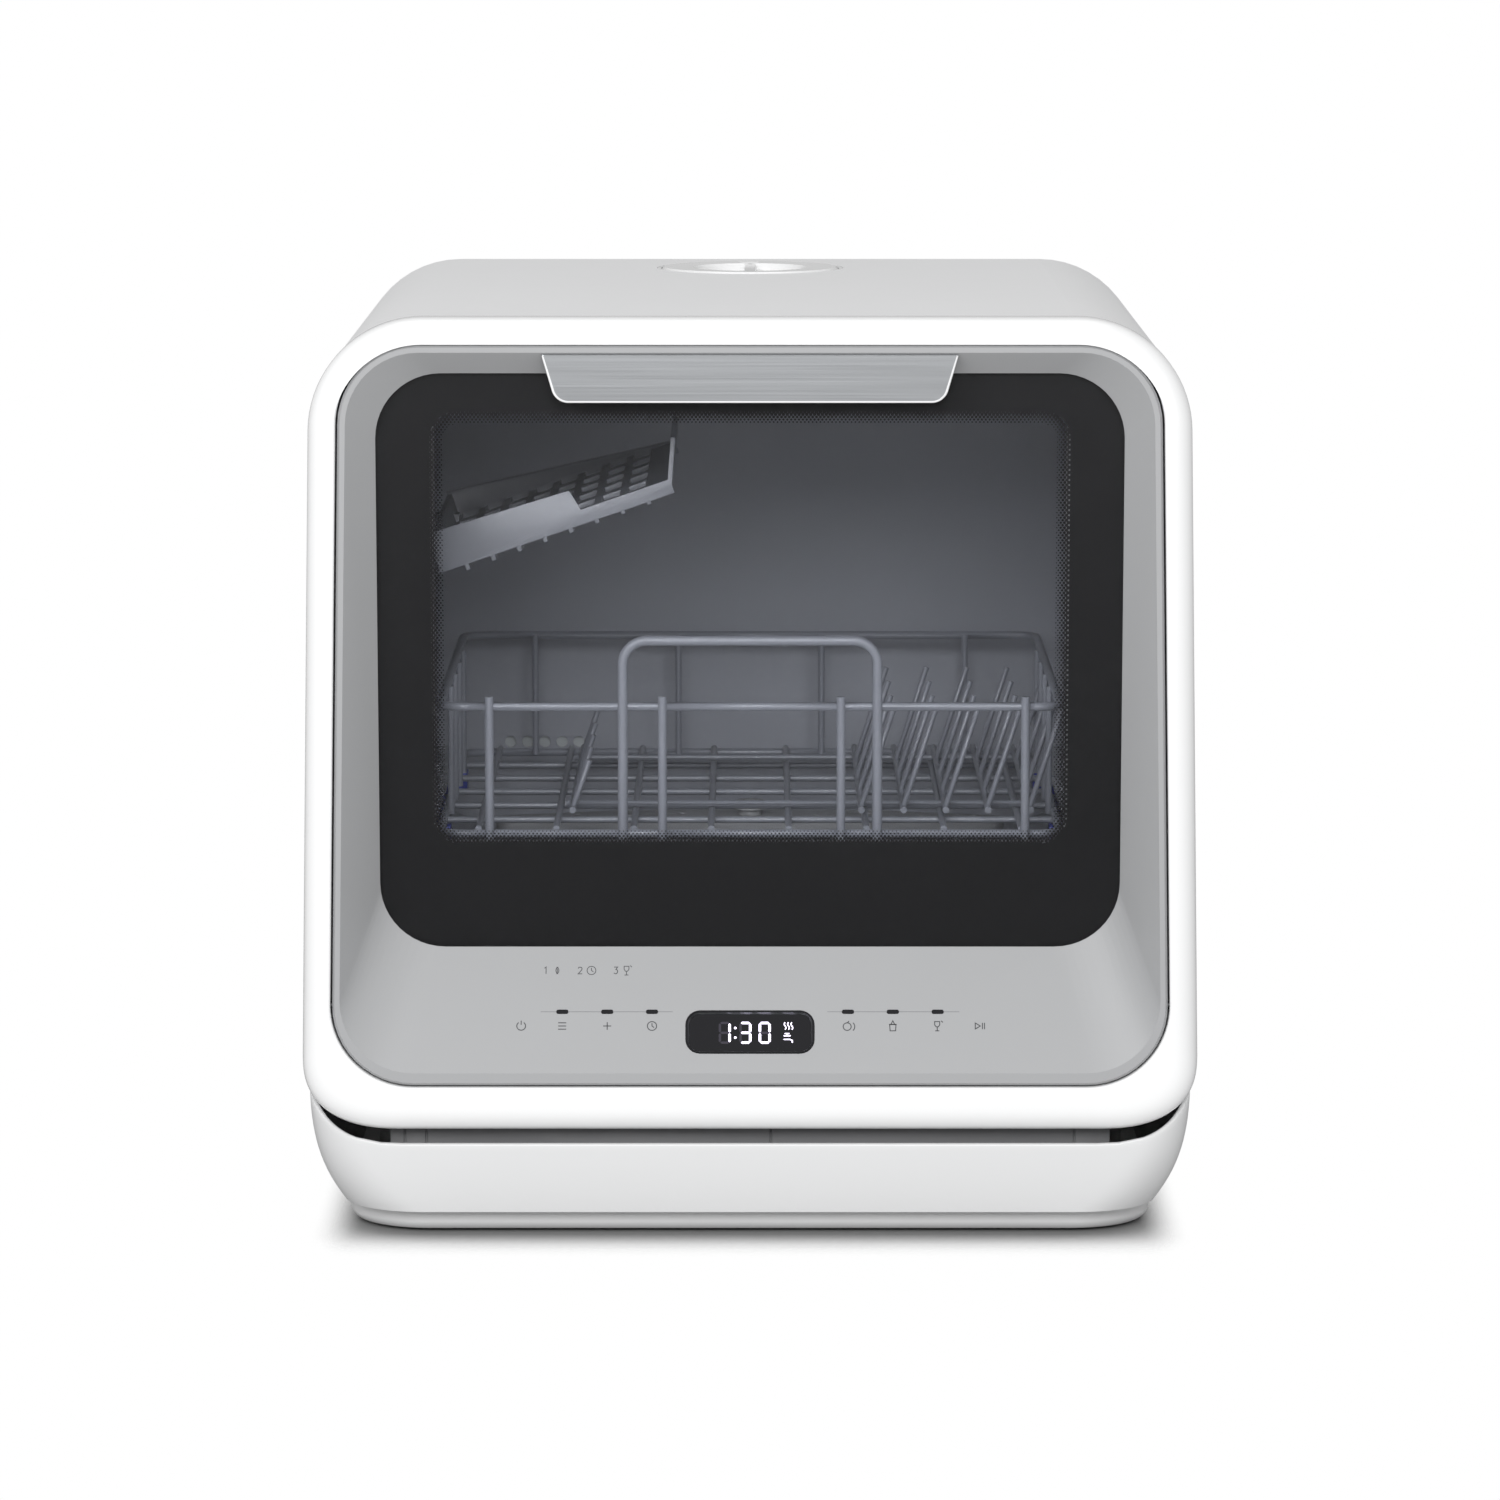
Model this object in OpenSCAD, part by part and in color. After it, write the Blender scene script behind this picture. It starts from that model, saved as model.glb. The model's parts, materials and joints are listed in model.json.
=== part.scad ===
// Countertop dishwasher: rounded square casing on a boat-shaped base, one front door
// with a window, a wire basket, a spray arm, pumps, a water tank and a filler on top.
// Millimetres. The origin is under the middle of the machine, +X right, +Y back, +Z up.

/* [Housing] */
// overall depth of the machine
body_d = 440; // [380:1:520]
// overall height of the machine
body_h = 440; // [400:1:500]
// half width of the front ring at the very top
half_top = 206.8; // [190:0.1:230]
// how much wider the front ring is at the very bottom, on each side
flare = 7.1; // [0:0.1:15]
// outer corner radius of the ring and casing
corner_r = 54; // [30:1:80]
// height of the underside of the ring above the worktop
ring_z = 54; // [46:1:70]
// depth of the front ring
ring_depth = 22; // [16:1:34]
// radius of the rounded front edge of the ring
ring_round = 12; // [4:1:13]
// how far the casing lies inside the ring's outline
casing_step = 0.7; // [0.3:0.1:3]
// wall of the casing
casing_wall = 2.2; // [1.5:0.1:4]
// small assembly clearance between fixed pieces
fit = 0.3; // [0.1:0.05:0.6]

/* [Base] */
// underside of the base shell
base_z = 12; // [8:1:20]
// top of the base shell at the sides
base_top = 82; // [70:1:95]
// wall of the base shell
base_wall = 2.6; // [2:0.1:5]
// height of the slot between ring and base
slot_gap = 8; // [4:0.5:12]
// how far the plinth lies inside the ring's widest line, on each side
plinth_inset = 24.4; // [15:0.1:50]
// distance from the front of the machine to the plinth
plinth_setback = 24; // [15:1:50]
// corner radius of base and plinth seen from above
plan_r = 46; // [20:1:70]
// corner radius of the base at the back
rear_r = 12; // [4:1:40]
// how much the base's back leans in, as a share of its front
rear_lean = 0.25; // [0:0.05:1]
// radius of a rubber foot
foot_r = 11; // [6:0.5:16]

/* [Door] */
// width of the ring under the door
ring_w_low = 22.1; // [18:0.1:30]
// width of the ring over the door
ring_w_high = 12.2; // [8:0.1:20]
// width of the ring beside the door, at the bottom
ring_w_side_low = 15.3; // [10:0.1:20]
// width of the ring beside the door, at the top
ring_w_side_high = 14.2; // [10:0.1:20]
// corner radius of the door
door_r = 38; // [20:1:50]
// seam between door and ring
seam = 0.9; // [0.6:0.05:2]
// depth of the door frame moulding
frame_depth = 34; // [32:1:36]
// wall of the door mouldings
door_wall = 2.4; // [1.8:0.1:4]
// flat rim of the door frame at the sides and top
rim = 3.6; // [2:0.1:8]
// flat rim of the door frame at the bottom
rim_bottom = 5.9; // [3:0.1:10]
// radius of the hinge pins
pin_r = 2; // [1.5:0.1:2.5]
// running clearance of a pin or shaft, on the radius
run_fit = 0.06; // [0.02:0.01:0.1]
// hinge axis behind the front of the machine
hinge_back = 5; // [4:0.5:8]
// chamfer of the door's lower back edge
low_cut = 12; // [9:0.5:14]

/* [Door glass] */
// width of the door's side bevels next to the pane
bevel_side = 16.4; // [12:0.1:30]
// height of the door's upper bevel
bevel_top = 14.3; // [10:0.1:30]
// height of the control panel under the pane, with its rim
bevel_low = 61.9; // [50:0.1:80]
// corner radius of the outer pane
glass_r = 31; // [10:1:40]
// how deep the pane lies behind the rim at its top edge
glass_deep_top = 13; // [10:0.5:16]
// how deep the pane lies behind the rim at its bottom edge
glass_deep_bottom = 30; // [20:0.5:31]
// thickness of the outer pane
glass_t = 3.2; // [2.5:0.1:5]
// thickness of the inner pane
inner_t = 3; // [2:0.1:5]
// distance from the tub's side wall to the window in the inner liner
window_side = 15; // [10:1:45]
// distance from the tub's floor up to the window
window_low = 37.5; // [30:0.5:70]
// distance from the tub's ceiling down to the window
window_top = 6; // [5:1:50]

/* [Handle] */
// half width of the grip at its top edge
handle_half_top = 97.6; // [70:0.1:130]
// half width of the grip at its lower edge
handle_half_low = 87; // [60:0.1:120]
// distance from the door's top edge down to the grip
handle_drop = 4.5; // [4:0.1:10]
// height of the grip
handle_h = 22.6; // [18:0.1:30]
// thickness of the grip plate
handle_t = 2.4; // [1.5:0.1:4]
// radius of the grip's lower corners
handle_r = 8; // [2:0.5:11]

/* [Control panel] */
// width of the display
display_w = 61.3; // [40:0.1:90]
// height of the display, along the panel
display_h = 21.5; // [14:0.1:30]
// corner radius of the display
display_r = 7; // [2:0.5:10]
// middle of the display, along the panel from its lower edge
display_up = 20.6; // [16:0.1:30]
// row of indicator windows, along the panel from its lower edge
lamp_up = 30.7; // [20:0.1:40]
// distance from the middle to the first indicator window
lamp_first = 46.6; // [40:0.1:70]
// pitch of the indicator windows
lamp_pitch = 21.35; // [12:0.05:30]
// width of an indicator window
lamp_w = 5.7; // [3:0.1:10]
// height of an indicator window
lamp_h = 2.1; // [1:0.1:4]

/* [Tub] */
// room beside the wash chamber, on each side
tub_side = 41.8; // [35:0.1:60]
// floor of the wash chamber
tub_z0 = 150; // [140:1:160]
// room over the wash chamber
tub_top = 36; // [32:1:60]
// mouth of the tub behind the front of the machine
tub_setback = 48; // [46:1:52]
// room behind the wash chamber
tub_rear = 70; // [62:1:100]
// wall of the tub
tub_wall = 2; // [1.5:0.1:4]
// inner corner radius of the tub
tub_r = 20; // [8:1:40]
// width of the sealing flange round the mouth
flange_w = 10; // [8:0.5:14]
// gap between the door liner and the sealing flange
seal_gap = 3; // [2.5:0.1:5]

/* [Basket] */
// distance from the tub's side wall to the basket's side wires
basket_side = 16; // [15:0.5:45]
// front wires of the basket behind the front of the machine
basket_setback = 59; // [56:1:70]
// distance from the tub's back wall to the basket
basket_rear = 29; // [10:1:100]
// height of the basket's bottom wire above the tub floor
basket_up = 38.4; // [36:0.1:50]
// height of the basket's upper rail above its bottom wire
rail_up = 61.6; // [35:0.1:90]
// top of the raised loop in the middle of the front, above the bottom wire
loop_up = 93.6; // [70:0.1:110]
// half width of the raised loop
loop_half = 61; // [30:1:90]
// radius of the frame wires
wire_r = 2.1; // [1.5:0.1:3]
// radius of the floor wires and tines
thin_r = 1.6; // [1:0.1:2.5]
// corner radius of the basket's rails
basket_r = 12; // [6:1:30]
// number of floor wires running front to back
floor_wires = 8; // [4:1:14]
// number of plate rows
tine_rows = 5; // [2:1:6]
// pitch of the plate rows
tine_pitch = 20.5; // [15:0.5:30]
// length of a tine
tine_len = 50; // [25:1:58]
// lean of the tines
tine_lean = 18; // [0:1:30]
// distance from the basket's side to its first plate row
tine_side = 95; // [88:1:120]
// distance from the basket's side to its cup row
cup_side = 63; // [40:1:80]
// bottom of the basket's runners above the tub floor
runner_up = 21; // [20:0.5:30]
// height of a runner
runner_h = 17.5; // [14:0.5:20]
// width of a runner
runner_w = 12; // [8:0.5:13]
// metal thickness of a runner
runner_t = 1.8; // [1:0.1:2.5]

/* [Cup shelf] */
// width of the shelf, across the machine
shelf_w = 119; // [80:1:125]
// length of the shelf, front to back
shelf_l = 205; // [120:1:240]
// tilt of the shelf
shelf_tilt = 19; // [5:1:22]
// distance from the tub's ceiling down to the shelf's lower edge at the wall
shelf_drop = 88; // [74:1:104]
// front edge of the shelf behind the mouth of the tub
shelf_setback = 30; // [10:1:60]
// thickness of the shelf's slats
shelf_t = 2.4; // [1.5:0.1:4]

/* [Wash system] */
// distance from the spray arm's tip to the tub's back wall
arm_rear = 22; // [10:1:50]
// least distance from the spray arm's tip to the tub's side walls
arm_side = 37; // [10:1:60]
// underside of the spray arm above the tub floor
arm_up = 14; // [12:1:18]
// height of the spray arm
arm_h = 11; // [8:0.5:12]
// radius of the spray arm's hub pin
hub_pin_r = 6; // [4:0.5:8]
// distance from the heater's ring to the tub's back wall
heater_rear = 46; // [35:1:55]
// radius of the heater's tube
heater_r = 3.2; // [2.5:0.1:4.5]
// distance of the filter from the spray arm's axis
filter_off = 62; // [60:1:66]
// radius of the filter cup
filter_r = 27; // [18:0.5:29]
// radius of the wash pump's impeller
impeller_r = 26; // [18:0.5:28]
// number of vanes on the impeller
impeller_vanes = 6; // [4:1:9]
// radius of the drying fan's blades
fan_r = 36; // [25:0.5:37]
// number of fan blades
fan_blades = 7; // [5:1:11]

/* [Filler] */
// distance of the filler's axis from the back of the machine
filler_rear = 70; // [68:1:100]
// radius of the filler cap
cap_r = 46; // [38:0.5:50]
// radius of the filler's bore
filler_bore = 31; // [22:0.5:34]
// radius of the recess in the cap
cap_recess_r = 27.5; // [18:0.5:29]
// width of the cap's grip bar
grip_w = 5.5; // [4:0.5:10]
// wall of the water tank
tank_wall = 2.2; // [1.5:0.1:4]

/* [Hidden] */
$fn = 48;
e = 0.01;
front = -body_d / 2;
back = body_d / 2;
half_bottom = half_top + flare;
plinth_half = half_bottom - plinth_inset;
door_z0 = ring_z + ring_w_low;
door_z1 = body_h - ring_w_high;
door_half_bottom = half_bottom - ring_w_side_low;
door_half_top = half_top - ring_w_side_high;
glass_half = door_half_top - bevel_side;
glass_z1 = door_z1 - bevel_top;
glass_z0 = door_z0 + bevel_low;
handle_z1 = door_z1 - handle_drop;
handle_z0 = handle_z1 - handle_h;
tub_half = half_top - tub_side;
tub_z1 = body_h - tub_top;
tub_back = back - tub_rear;
window_half = tub_half - window_side;
window_z0 = tub_z0 + window_low;
window_z1 = tub_z1 - window_top;
ring_back = front + ring_depth;
taper = (half_bottom - half_top) / (body_h - ring_z);
door_front = front + 0.5;
door_back = door_front + frame_depth;
hinge_y = front + hinge_back;
hinge_z = door_z0 + door_r;
tub_front = front + tub_setback;
liner_back = tub_front - seal_gap;
glass_y = door_front + glass_deep_top;
glass_len = norm([glass_deep_bottom - glass_deep_top, glass_z1 - glass_z0]);
glass_lean = atan2(glass_deep_bottom - glass_deep_top, glass_z1 - glass_z0);
panel_z = door_z0 + rim_bottom;
panel_lean = atan2(glass_deep_bottom, glass_z0 - panel_z);
panel_len = norm([glass_deep_bottom, glass_z0 - panel_z]);
inner_step = casing_step + casing_wall + fit;
rear_y = back - 6;
basket_front = front + basket_setback;
basket_back = tub_back - basket_rear;
basket_d = basket_back - basket_front;
basket_half = tub_half - basket_side;
basket_z = tub_z0 + basket_up;
rail_z = basket_z + rail_up;
loop_z = basket_z + loop_up;
tine_x0 = basket_half - tine_side;
cup_x = cup_side - basket_half;
runner_z = tub_z0 + runner_up;
shelf_z = tub_z1 - shelf_drop;
arm_len = 2 * min(tub_back - arm_rear, tub_half - arm_side);
heater_ring_r = tub_back - heater_rear;
filler_y = back - filler_rear;
casing_open = half_top - 71.8;
floor_z = base_z + base_wall;
arm_z = tub_z0 + arm_up;
sump_y = filter_off / 2;
sump_r = filter_off / 2 + filter_r + 12;
sump_z = tub_z0 - 44;
pump_z = sump_z - 27;
pump_y = sump_y;
pipe_z = pump_z + 22;
fan_x = 98.8 - half_top;
fan_z = 102;
fan_box = 84;
fan_y = rear_y - fit;
pocket_x0 = 16;
pocket_x1 = 152;
pocket_z0 = 66;
pocket_z1 = 122;
pocket_y = rear_y - 24;
tank_z0 = tub_z0 + 2;
tank_half = half_top - 36.8;
tank_top = body_h - 10;
shelf_y0 = tub_front + shelf_setback;
shelf_x = -tub_half + 15;
tongue_z = tub_z1 + flange_w + 4.2;
peg_w = 8;
peg_ys = [shelf_y0 + 26, shelf_y0 + shelf_l - 34];

// ---------- outlines ----------
function unit(v) = v / norm(v);

// arc points that round the corner p1 of the path p0 p1 p2
function corner_arc(p0, p1, p2, r, n) =
    let (
        a = unit(p0 - p1),
        b = unit(p2 - p1),
        half = acos(a * b) / 2,
        c = p1 + unit(a + b) * r / sin(half),
        s = p1 + a * r / tan(half) - c,
        f = p1 + b * r / tan(half) - c,
        a0 = atan2(s[1], s[0]),
        d = atan2(f[1], f[0]) - a0,
        turn = d > 180 ? d - 360 : d < -180 ? d + 360 : d
    )
    [for (i = [0:n]) c + r * [cos(a0 + turn * i / n), sin(a0 + turn * i / n)]];

// a polygon with rounded corners, r one radius for each corner
function rounded(p, r, n = 10) =
    [for (i = [0:len(p) - 1])
        each corner_arc(p[(i + len(p) - 1) % len(p)], p[i], p[(i + 1) % len(p)], r[i], n)];

// a straight-sided outline, wider at the bottom, with one corner radius
function tapered(wb, wt, z0, z1, r, n = 10) =
    rounded([[-wb, z0], [wb, z0], [wt, z1], [-wt, z1]], [r, r, r, r], n);

// the machine's outline seen from the front, grown by g
function outline(g = 0) =
    tapered(half_bottom + g, half_top + g, ring_z - g, body_h + g, corner_r + g, 12);

// the door's outline, grown by g
function door_line(g = 0) =
    tapered(door_half_bottom + g, door_half_top + g, door_z0 - g, door_z1 + g, door_r + g, 12);

// inner edge of the door's flat rim, grown by g
function rim_line(g = 0) =
    tapered(
        door_half_bottom - rim + g, door_half_top - rim + g,
        door_z0 + rim_bottom - g, door_z1 - rim + g, door_r - rim + g, 12
    );

// the outer pane in its own leaning plane, grown by g
function glass_line(g = 0) =
    tapered(glass_half + g, glass_half + g, -glass_len - g, g, glass_r + g, 12);

// a rounded rectangle
function box_line(x0, x1, z0, z1, r, n = 6) =
    rounded([[x0, z0], [x1, z0], [x1, z1], [x0, z1]], [r, r, r, r], n);

// extrudes a front view from y0 back to y1
module along_y(y0, y1)
    translate([0, y1, 0])
        rotate([90, 0, 0])
            linear_extrude(y1 - y0)
                children();

// extrudes a side view from x0 to x1
module along_x(x0, x1)
    translate([x0, 0, 0])
        rotate([90, 0, 90])
            linear_extrude(x1 - x0)
                children();

// a box between two corners
module block(a, b)
    translate(a)
        cube(b - a);

// a round rod between two points
module rod(a, b, r)
    let (v = b - a)
        translate(a)
            rotate([0, acos(v[2] / norm(v)), atan2(v[1], v[0])])
                cylinder(r = r, h = norm(v));

// a quarter bend of wire or pipe round the Z axis
module bend(radius, r, turn = 90)
    rotate_extrude(angle = turn)
        translate([radius, 0])
            circle(r = r);

// the leaning plane of the outer pane, its origin at the top edge
module in_glass_plane()
    translate([0, glass_y, glass_z1])
        rotate([glass_lean, 0, 0])
            children();

// the sloping control panel, its origin at the lower edge
module in_panel_plane()
    translate([0, door_front, panel_z])
        rotate([-panel_lean, 0, 0])
            children();

// ---------- base ----------
// half width and front and back inset of the boat-shaped base at each height
base_levels = [
    [base_z, half_bottom - 19.4, 14.5],
    [base_z + 8, half_bottom - 13.9, 11],
    [base_z + 22, half_bottom - 8.3, 8.8],
    [base_z + 40, half_bottom - 5.1, 7.8],
    [base_top, half_bottom - 3.9, 7.5]
];

// the base seen from above: round front corners, tighter ones at the back
function boat_line(half, y0, y1, g) =
    rounded(
        [[-half, y0], [half, y0], [half, y1], [-half, y1]],
        [plan_r - g, plan_r - g, rear_r - g, rear_r - g], 10
    );

module base_form(g, from)
    hull()
        for (l = base_levels)
            translate([0, 0, max(l[0], from)])
                linear_extrude(e)
                    polygon(boat_line(l[1] - g, front + l[2] + g, back - l[2] * rear_lean - g, g));

module base_shell()
    color("white")
        difference() {
            union() {
                difference() {
                    base_form(0, base_z);
                    translate([0, 0, e])
                        base_form(base_wall, floor_z);
                }
                // ribs that carry the pumps and stiffen the floor
                for (y = [front + 70, -60, back - 90])
                    block(
                        [28.9 - half_bottom, y, floor_z - e],
                        [half_bottom - 28.9, y + base_wall, floor_z + 12]
                    );
                for (s = [-1, 1])
                    translate([s * (half_bottom - 63.9), 0, 0])
                        block([-1.3, ring_back + 16, floor_z - e], [1.3, back - 30, floor_z + 9]);
                // posts under the casing's turned-in corners
                for (s = [-1, 1], t = [-1, 1])
                    translate([s * (half_bottom - 47.9), t * (back - 70), floor_z - e])
                        cylinder(r = 7, h = ring_z - floor_z);
            }
            // the casing lies in the base
            along_y(ring_back - fit, back + 1)
                polygon(outline(-casing_step + fit));
            // the slot under the ring runs out along its round corners
            translate([0, 0, -slot_gap])
                along_y(front - 1, ring_back)
                    polygon(outline());
            // air inlets in the floor
            for (i = [-3:3])
                translate([i * 16, back - 60, base_z - 1])
                    linear_extrude(base_wall + 2)
                        polygon(box_line(-3, 3, -14, 14, 2.9, 4));
        }

module plinth()
    color("white")
        difference() {
            hull() {
                translate([0, 0, 5])
                    linear_extrude(base_z - 5 - e)
                        polygon(plinth_line(0));
                translate([0, 0, 1.5])
                    linear_extrude(e)
                        polygon(plinth_line(-3));
            }
            translate([0, 0, 1])
                linear_extrude(base_z)
                    polygon(plinth_line(-11));
        }

// the plinth seen from above, grown by g
function plinth_line(g) =
    box_line(
        -plinth_half - g, plinth_half + g,
        front + plinth_setback - g, back - plinth_setback + g, plan_r + g, 10
    );

module rubber_feet()
    color("dimgray")
        for (x = [-1, 1], y = [-1, 1])
            translate([x * (plinth_half - 45), y * (back - plinth_setback - 45), 0])
                rotate_extrude()
                    polygon([
                        [0, 0], [foot_r - 2, 0], [foot_r, 2], [foot_r, 7],
                        [foot_r - 3, 7], [foot_r - 3, base_z - 0.05], [0, base_z - 0.05]
                    ]);

// ---------- front ring and casing ----------
module front_ring()
    color("white")
        difference() {
            hull() {
                for (a = [0:15:90])
                    translate([0, front + ring_round * (1 - sin(a)), 0])
                        along_y(0, e)
                            polygon(outline(-ring_round * (1 - cos(a))));
                along_y(ring_back - 1.2, ring_back - 1)
                    polygon(outline());
                along_y(ring_back - e, ring_back)
                    polygon(outline(-casing_step));
            }
            along_y(front - 1, ring_back + 1)
                polygon(door_line(seam));
            // softened inner edge
            hull() {
                along_y(front - 1, front)
                    polygon(door_line(seam + 1.4));
                along_y(front + 1.4, front + 1.5)
                    polygon(door_line(seam));
            }
            // groove for the casing's tongue
            along_y(ring_back - 4, ring_back + 1)
                difference() {
                    polygon(outline(-casing_step - casing_wall - 2));
                    polygon(outline(-casing_step - casing_wall - 5));
                }
            hinge_bores(seam);
        }

// both hinge pin bores
module hinge_bores(g)
    translate([-half_bottom + 7.5, hinge_y, hinge_z])
        rotate([0, 90, 0])
            cylinder(r = pin_r + run_fit, h = 2 * half_bottom - 15);

module casing()
    color("whitesmoke")
        difference() {
            along_y(ring_back + e, back)
                difference() {
                    polygon(outline(-casing_step));
                    polygon(outline(-casing_step - casing_wall));
                    translate([-casing_open, ring_z - 10])
                        square([2 * casing_open, 60]);
                }
            translate([0, filler_y, body_h - 12])
                cylinder(r = cap_r + 2.6, h = 20);
        }

// ---------- rear ----------
module rear_cover()
    color("whitesmoke")
        difference() {
            union() {
                along_y(rear_y, rear_y + 2.4)
                    polygon(outline(-inner_step));
                // pocket that shelters the connections
                along_y(pocket_y - 2, rear_y + 1)
                    polygon(box_line(pocket_x0 - 2, pocket_x1 + 2, pocket_z0 - 2, pocket_z1 + 2, 8));
                // stiffening swages
                for (z = [180:(body_h - 290) / 3:body_h - 109])
                    along_y(rear_y + 1, rear_y + 3.8)
                        polygon(box_line(56.8 - half_top, half_top - 56.8, z - 4, z + 4, 3.9, 5));
            }
            along_y(pocket_y, rear_y + 10)
                polygon(box_line(pocket_x0, pocket_x1, pocket_z0, pocket_z1, 6));
            // grille in front of the fan
            translate([fan_x, rear_y - 1, fan_z])
                rotate([-90, 0, 0])
                    for (k = [0:3], i = [0:5 + 4 * k])
                        rotate(i * 360 / (6 + 4 * k))
                            translate([8 + k * 8.5, 0, 0])
                                cylinder(r = 2.4, h = 6);
            // louvres over the tank
            for (z = [body_h - 68:9:body_h - 41])
                along_y(rear_y - 1, rear_y + 6)
                    polygon(box_line(-60, 60, z - 2, z + 2, 1.9, 4));
            connector_holes(0.2);
        }

// x of the three connections on the back
gland_x = 40;
spigot_x = 82;
valve_x = 126;
port_z = 94;
gland_r = 8;
spigot_r = 8.5;
valve_r = 13.2;

module connector_holes(g)
    for (c = [[gland_x, gland_r], [spigot_x, spigot_r], [valve_x, valve_r]])
        translate([c[0], pocket_y - 4, port_z])
            rotate([-90, 0, 0])
                cylinder(r = c[1] + g, h = 8);

// a connector turned along +Y, drawn as a side view from its axis
module connector(x)
    translate([x, pocket_y, port_z])
        rotate([-90, 0, 0])
            rotate_extrude()
                children();

module inlet_valve()
    color("dimgray") {
        connector(valve_x)
            polygon([
                [8, -12], [valve_r, -12], [valve_r, -2.1], [valve_r, 0.1], [valve_r + 3, 0.1],
                [valve_r + 3, 3], [valve_r, 3], [valve_r, 18], [valve_r - 1.2, 19.2], [8, 19.2]
            ]);
        block([valve_x - 17, pocket_y - 44, port_z - 15], [valve_x + 17, pocket_y - 12, port_z + 15]);
    }

module drain_spigot()
    color("gray")
        connector(spigot_x)
            polygon([
                [6.2, -14], [spigot_r, -14], [spigot_r, 0.1], [spigot_r + 3.5, 0.1],
                [spigot_r + 3.5, 2.6], [spigot_r, 2.6], [spigot_r, 17], [spigot_r - 0.7, 17.4],
                [spigot_r - 0.7, 18.2], [spigot_r, 18.8], [spigot_r - 1.2, 21], [6.2, 21]
            ]);

module power_gland()
    color("dimgray")
        connector(gland_x)
            polygon([
                [3.6, -9], [gland_r, -9], [gland_r, 0.1], [gland_r + 3, 0.1],
                [gland_r + 3, 3], [gland_r - 0.5, 4.5], [gland_r - 2.5, 15], [3.6, 15]
            ]);

// ---------- front bulkhead and slot ----------
module front_bulkhead()
    color("darkslategray")
        difference() {
            union() {
                along_y(tub_front + 2 + fit, tub_front + 4.6)
                    polygon(outline(-inner_step));
                along_y(ring_back + fit, tub_front + 4)
                    difference() {
                        polygon(outline(-inner_step));
                        polygon(outline(-inner_step - 2));
                    }
            }
            along_y(tub_front - 1, tub_front + 8)
                polygon(tub_line(tub_wall + fit));
        }

// the wash chamber's section, grown by g
function tub_line(g = 0) =
    box_line(-tub_half - g, tub_half + g, tub_z0 - g, tub_z1 + g, tub_r + g, 8);

module slot_apron()
    color("dimgray")
        difference() {
            along_x(34.8 - half_top, half_top - 34.8)
                polygon([
                    [ring_back + 0.5, floor_z + 0.05], [ring_back + 14, floor_z + 0.05],
                    [ring_back + 14, floor_z + 2.5], [ring_back + 3, floor_z + 2.5],
                    [ring_back + 3, ring_z + inner_step - 0.1],
                    [ring_back + 0.5, ring_z + inner_step - 0.1]
                ]);
            // shallow upright joints
            for (x = [41.8 - half_top, 52.2 - half_top, 10, half_top - 51.8])
                block([x - 0.5, front, floor_z + 3], [x + 0.5, ring_back + 1.5, ring_z + 10]);
            // notches under the casing's turned-in corners
            for (s = [0, 1])
                mirror([s, 0, 0])
                    block([casing_open - 0.4, front, ring_z + casing_step - fit], [half_top, 0, 90]);
        }

// ---------- tub ----------
module tub()
    color("slategray")
        difference() {
            union() {
                along_y(tub_front, tub_back + tub_wall)
                    polygon(tub_line(tub_wall));
                along_y(tub_front, tub_front + 2)
                    polygon(tub_line(flange_w));
                // pressed ribs outside the side walls
                for (y = [-110, -20, 70])
                    block(
                        [-tub_half - 6, y, tub_z0 + 40],
                        [tub_half + 6, y + 5, tub_z1 - 40]
                    );
            }
            along_y(tub_front - 1, tub_back)
                polygon(tub_line());
            // opening over the sump
            translate([0, sump_y, tub_z0 - 10])
                cylinder(r = sump_r - 6, h = 20);
            // heater legs
            for (x = [-14, 14])
                translate([x, heater_ring_r - 1, tub_z0 - 10])
                    cylinder(r = heater_r + 0.3, h = 20);
            // warm air outlet to the fan
            translate([fan_x, tub_back - 1, tub_z0 + 40])
                rotate([-90, 0, 0])
                    for (i = [-2:2])
                        translate([i * 9, 0, 0])
                            cylinder(r = 3, h = 10);
        }

module tub_gasket()
    color("black")
        along_y(tub_front - seal_gap + 0.4, tub_front - 0.05)
            difference() {
                polygon(tub_line(flange_w - 1.5));
                polygon(tub_line(2));
            }

// C-shaped runners that the basket glides slide in
module basket_rails()
    color("silver")
        for (s = [0, 1])
            mirror([s, 0, 0])
                along_y(tub_front + 8, tub_back - 6)
                    polygon([
                        [tub_half - runner_w, runner_z], [tub_half - 0.05, runner_z],
                        [tub_half - 0.05, runner_z + runner_h],
                        [tub_half - runner_w, runner_z + runner_h],
                        [tub_half - runner_w, runner_z + runner_h - runner_t],
                        [tub_half - runner_t, runner_z + runner_h - runner_t],
                        [tub_half - runner_t, runner_z + runner_t + 0.2],
                        [tub_half - runner_w, runner_z + runner_t + 0.2]
                    ]);

module strike()
    color("silver")
        difference() {
            block(
                [-16, tub_front - 6, tub_z1 + flange_w + 0.6],
                [16, tub_front + 2.2, tub_z1 + flange_w + 12.6]
            );
            block(
                [-11, tub_front - 7, tub_z1 + flange_w + 2.6],
                [11, tub_front + 1, tub_z1 + flange_w + 9.8]
            );
        }

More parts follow.
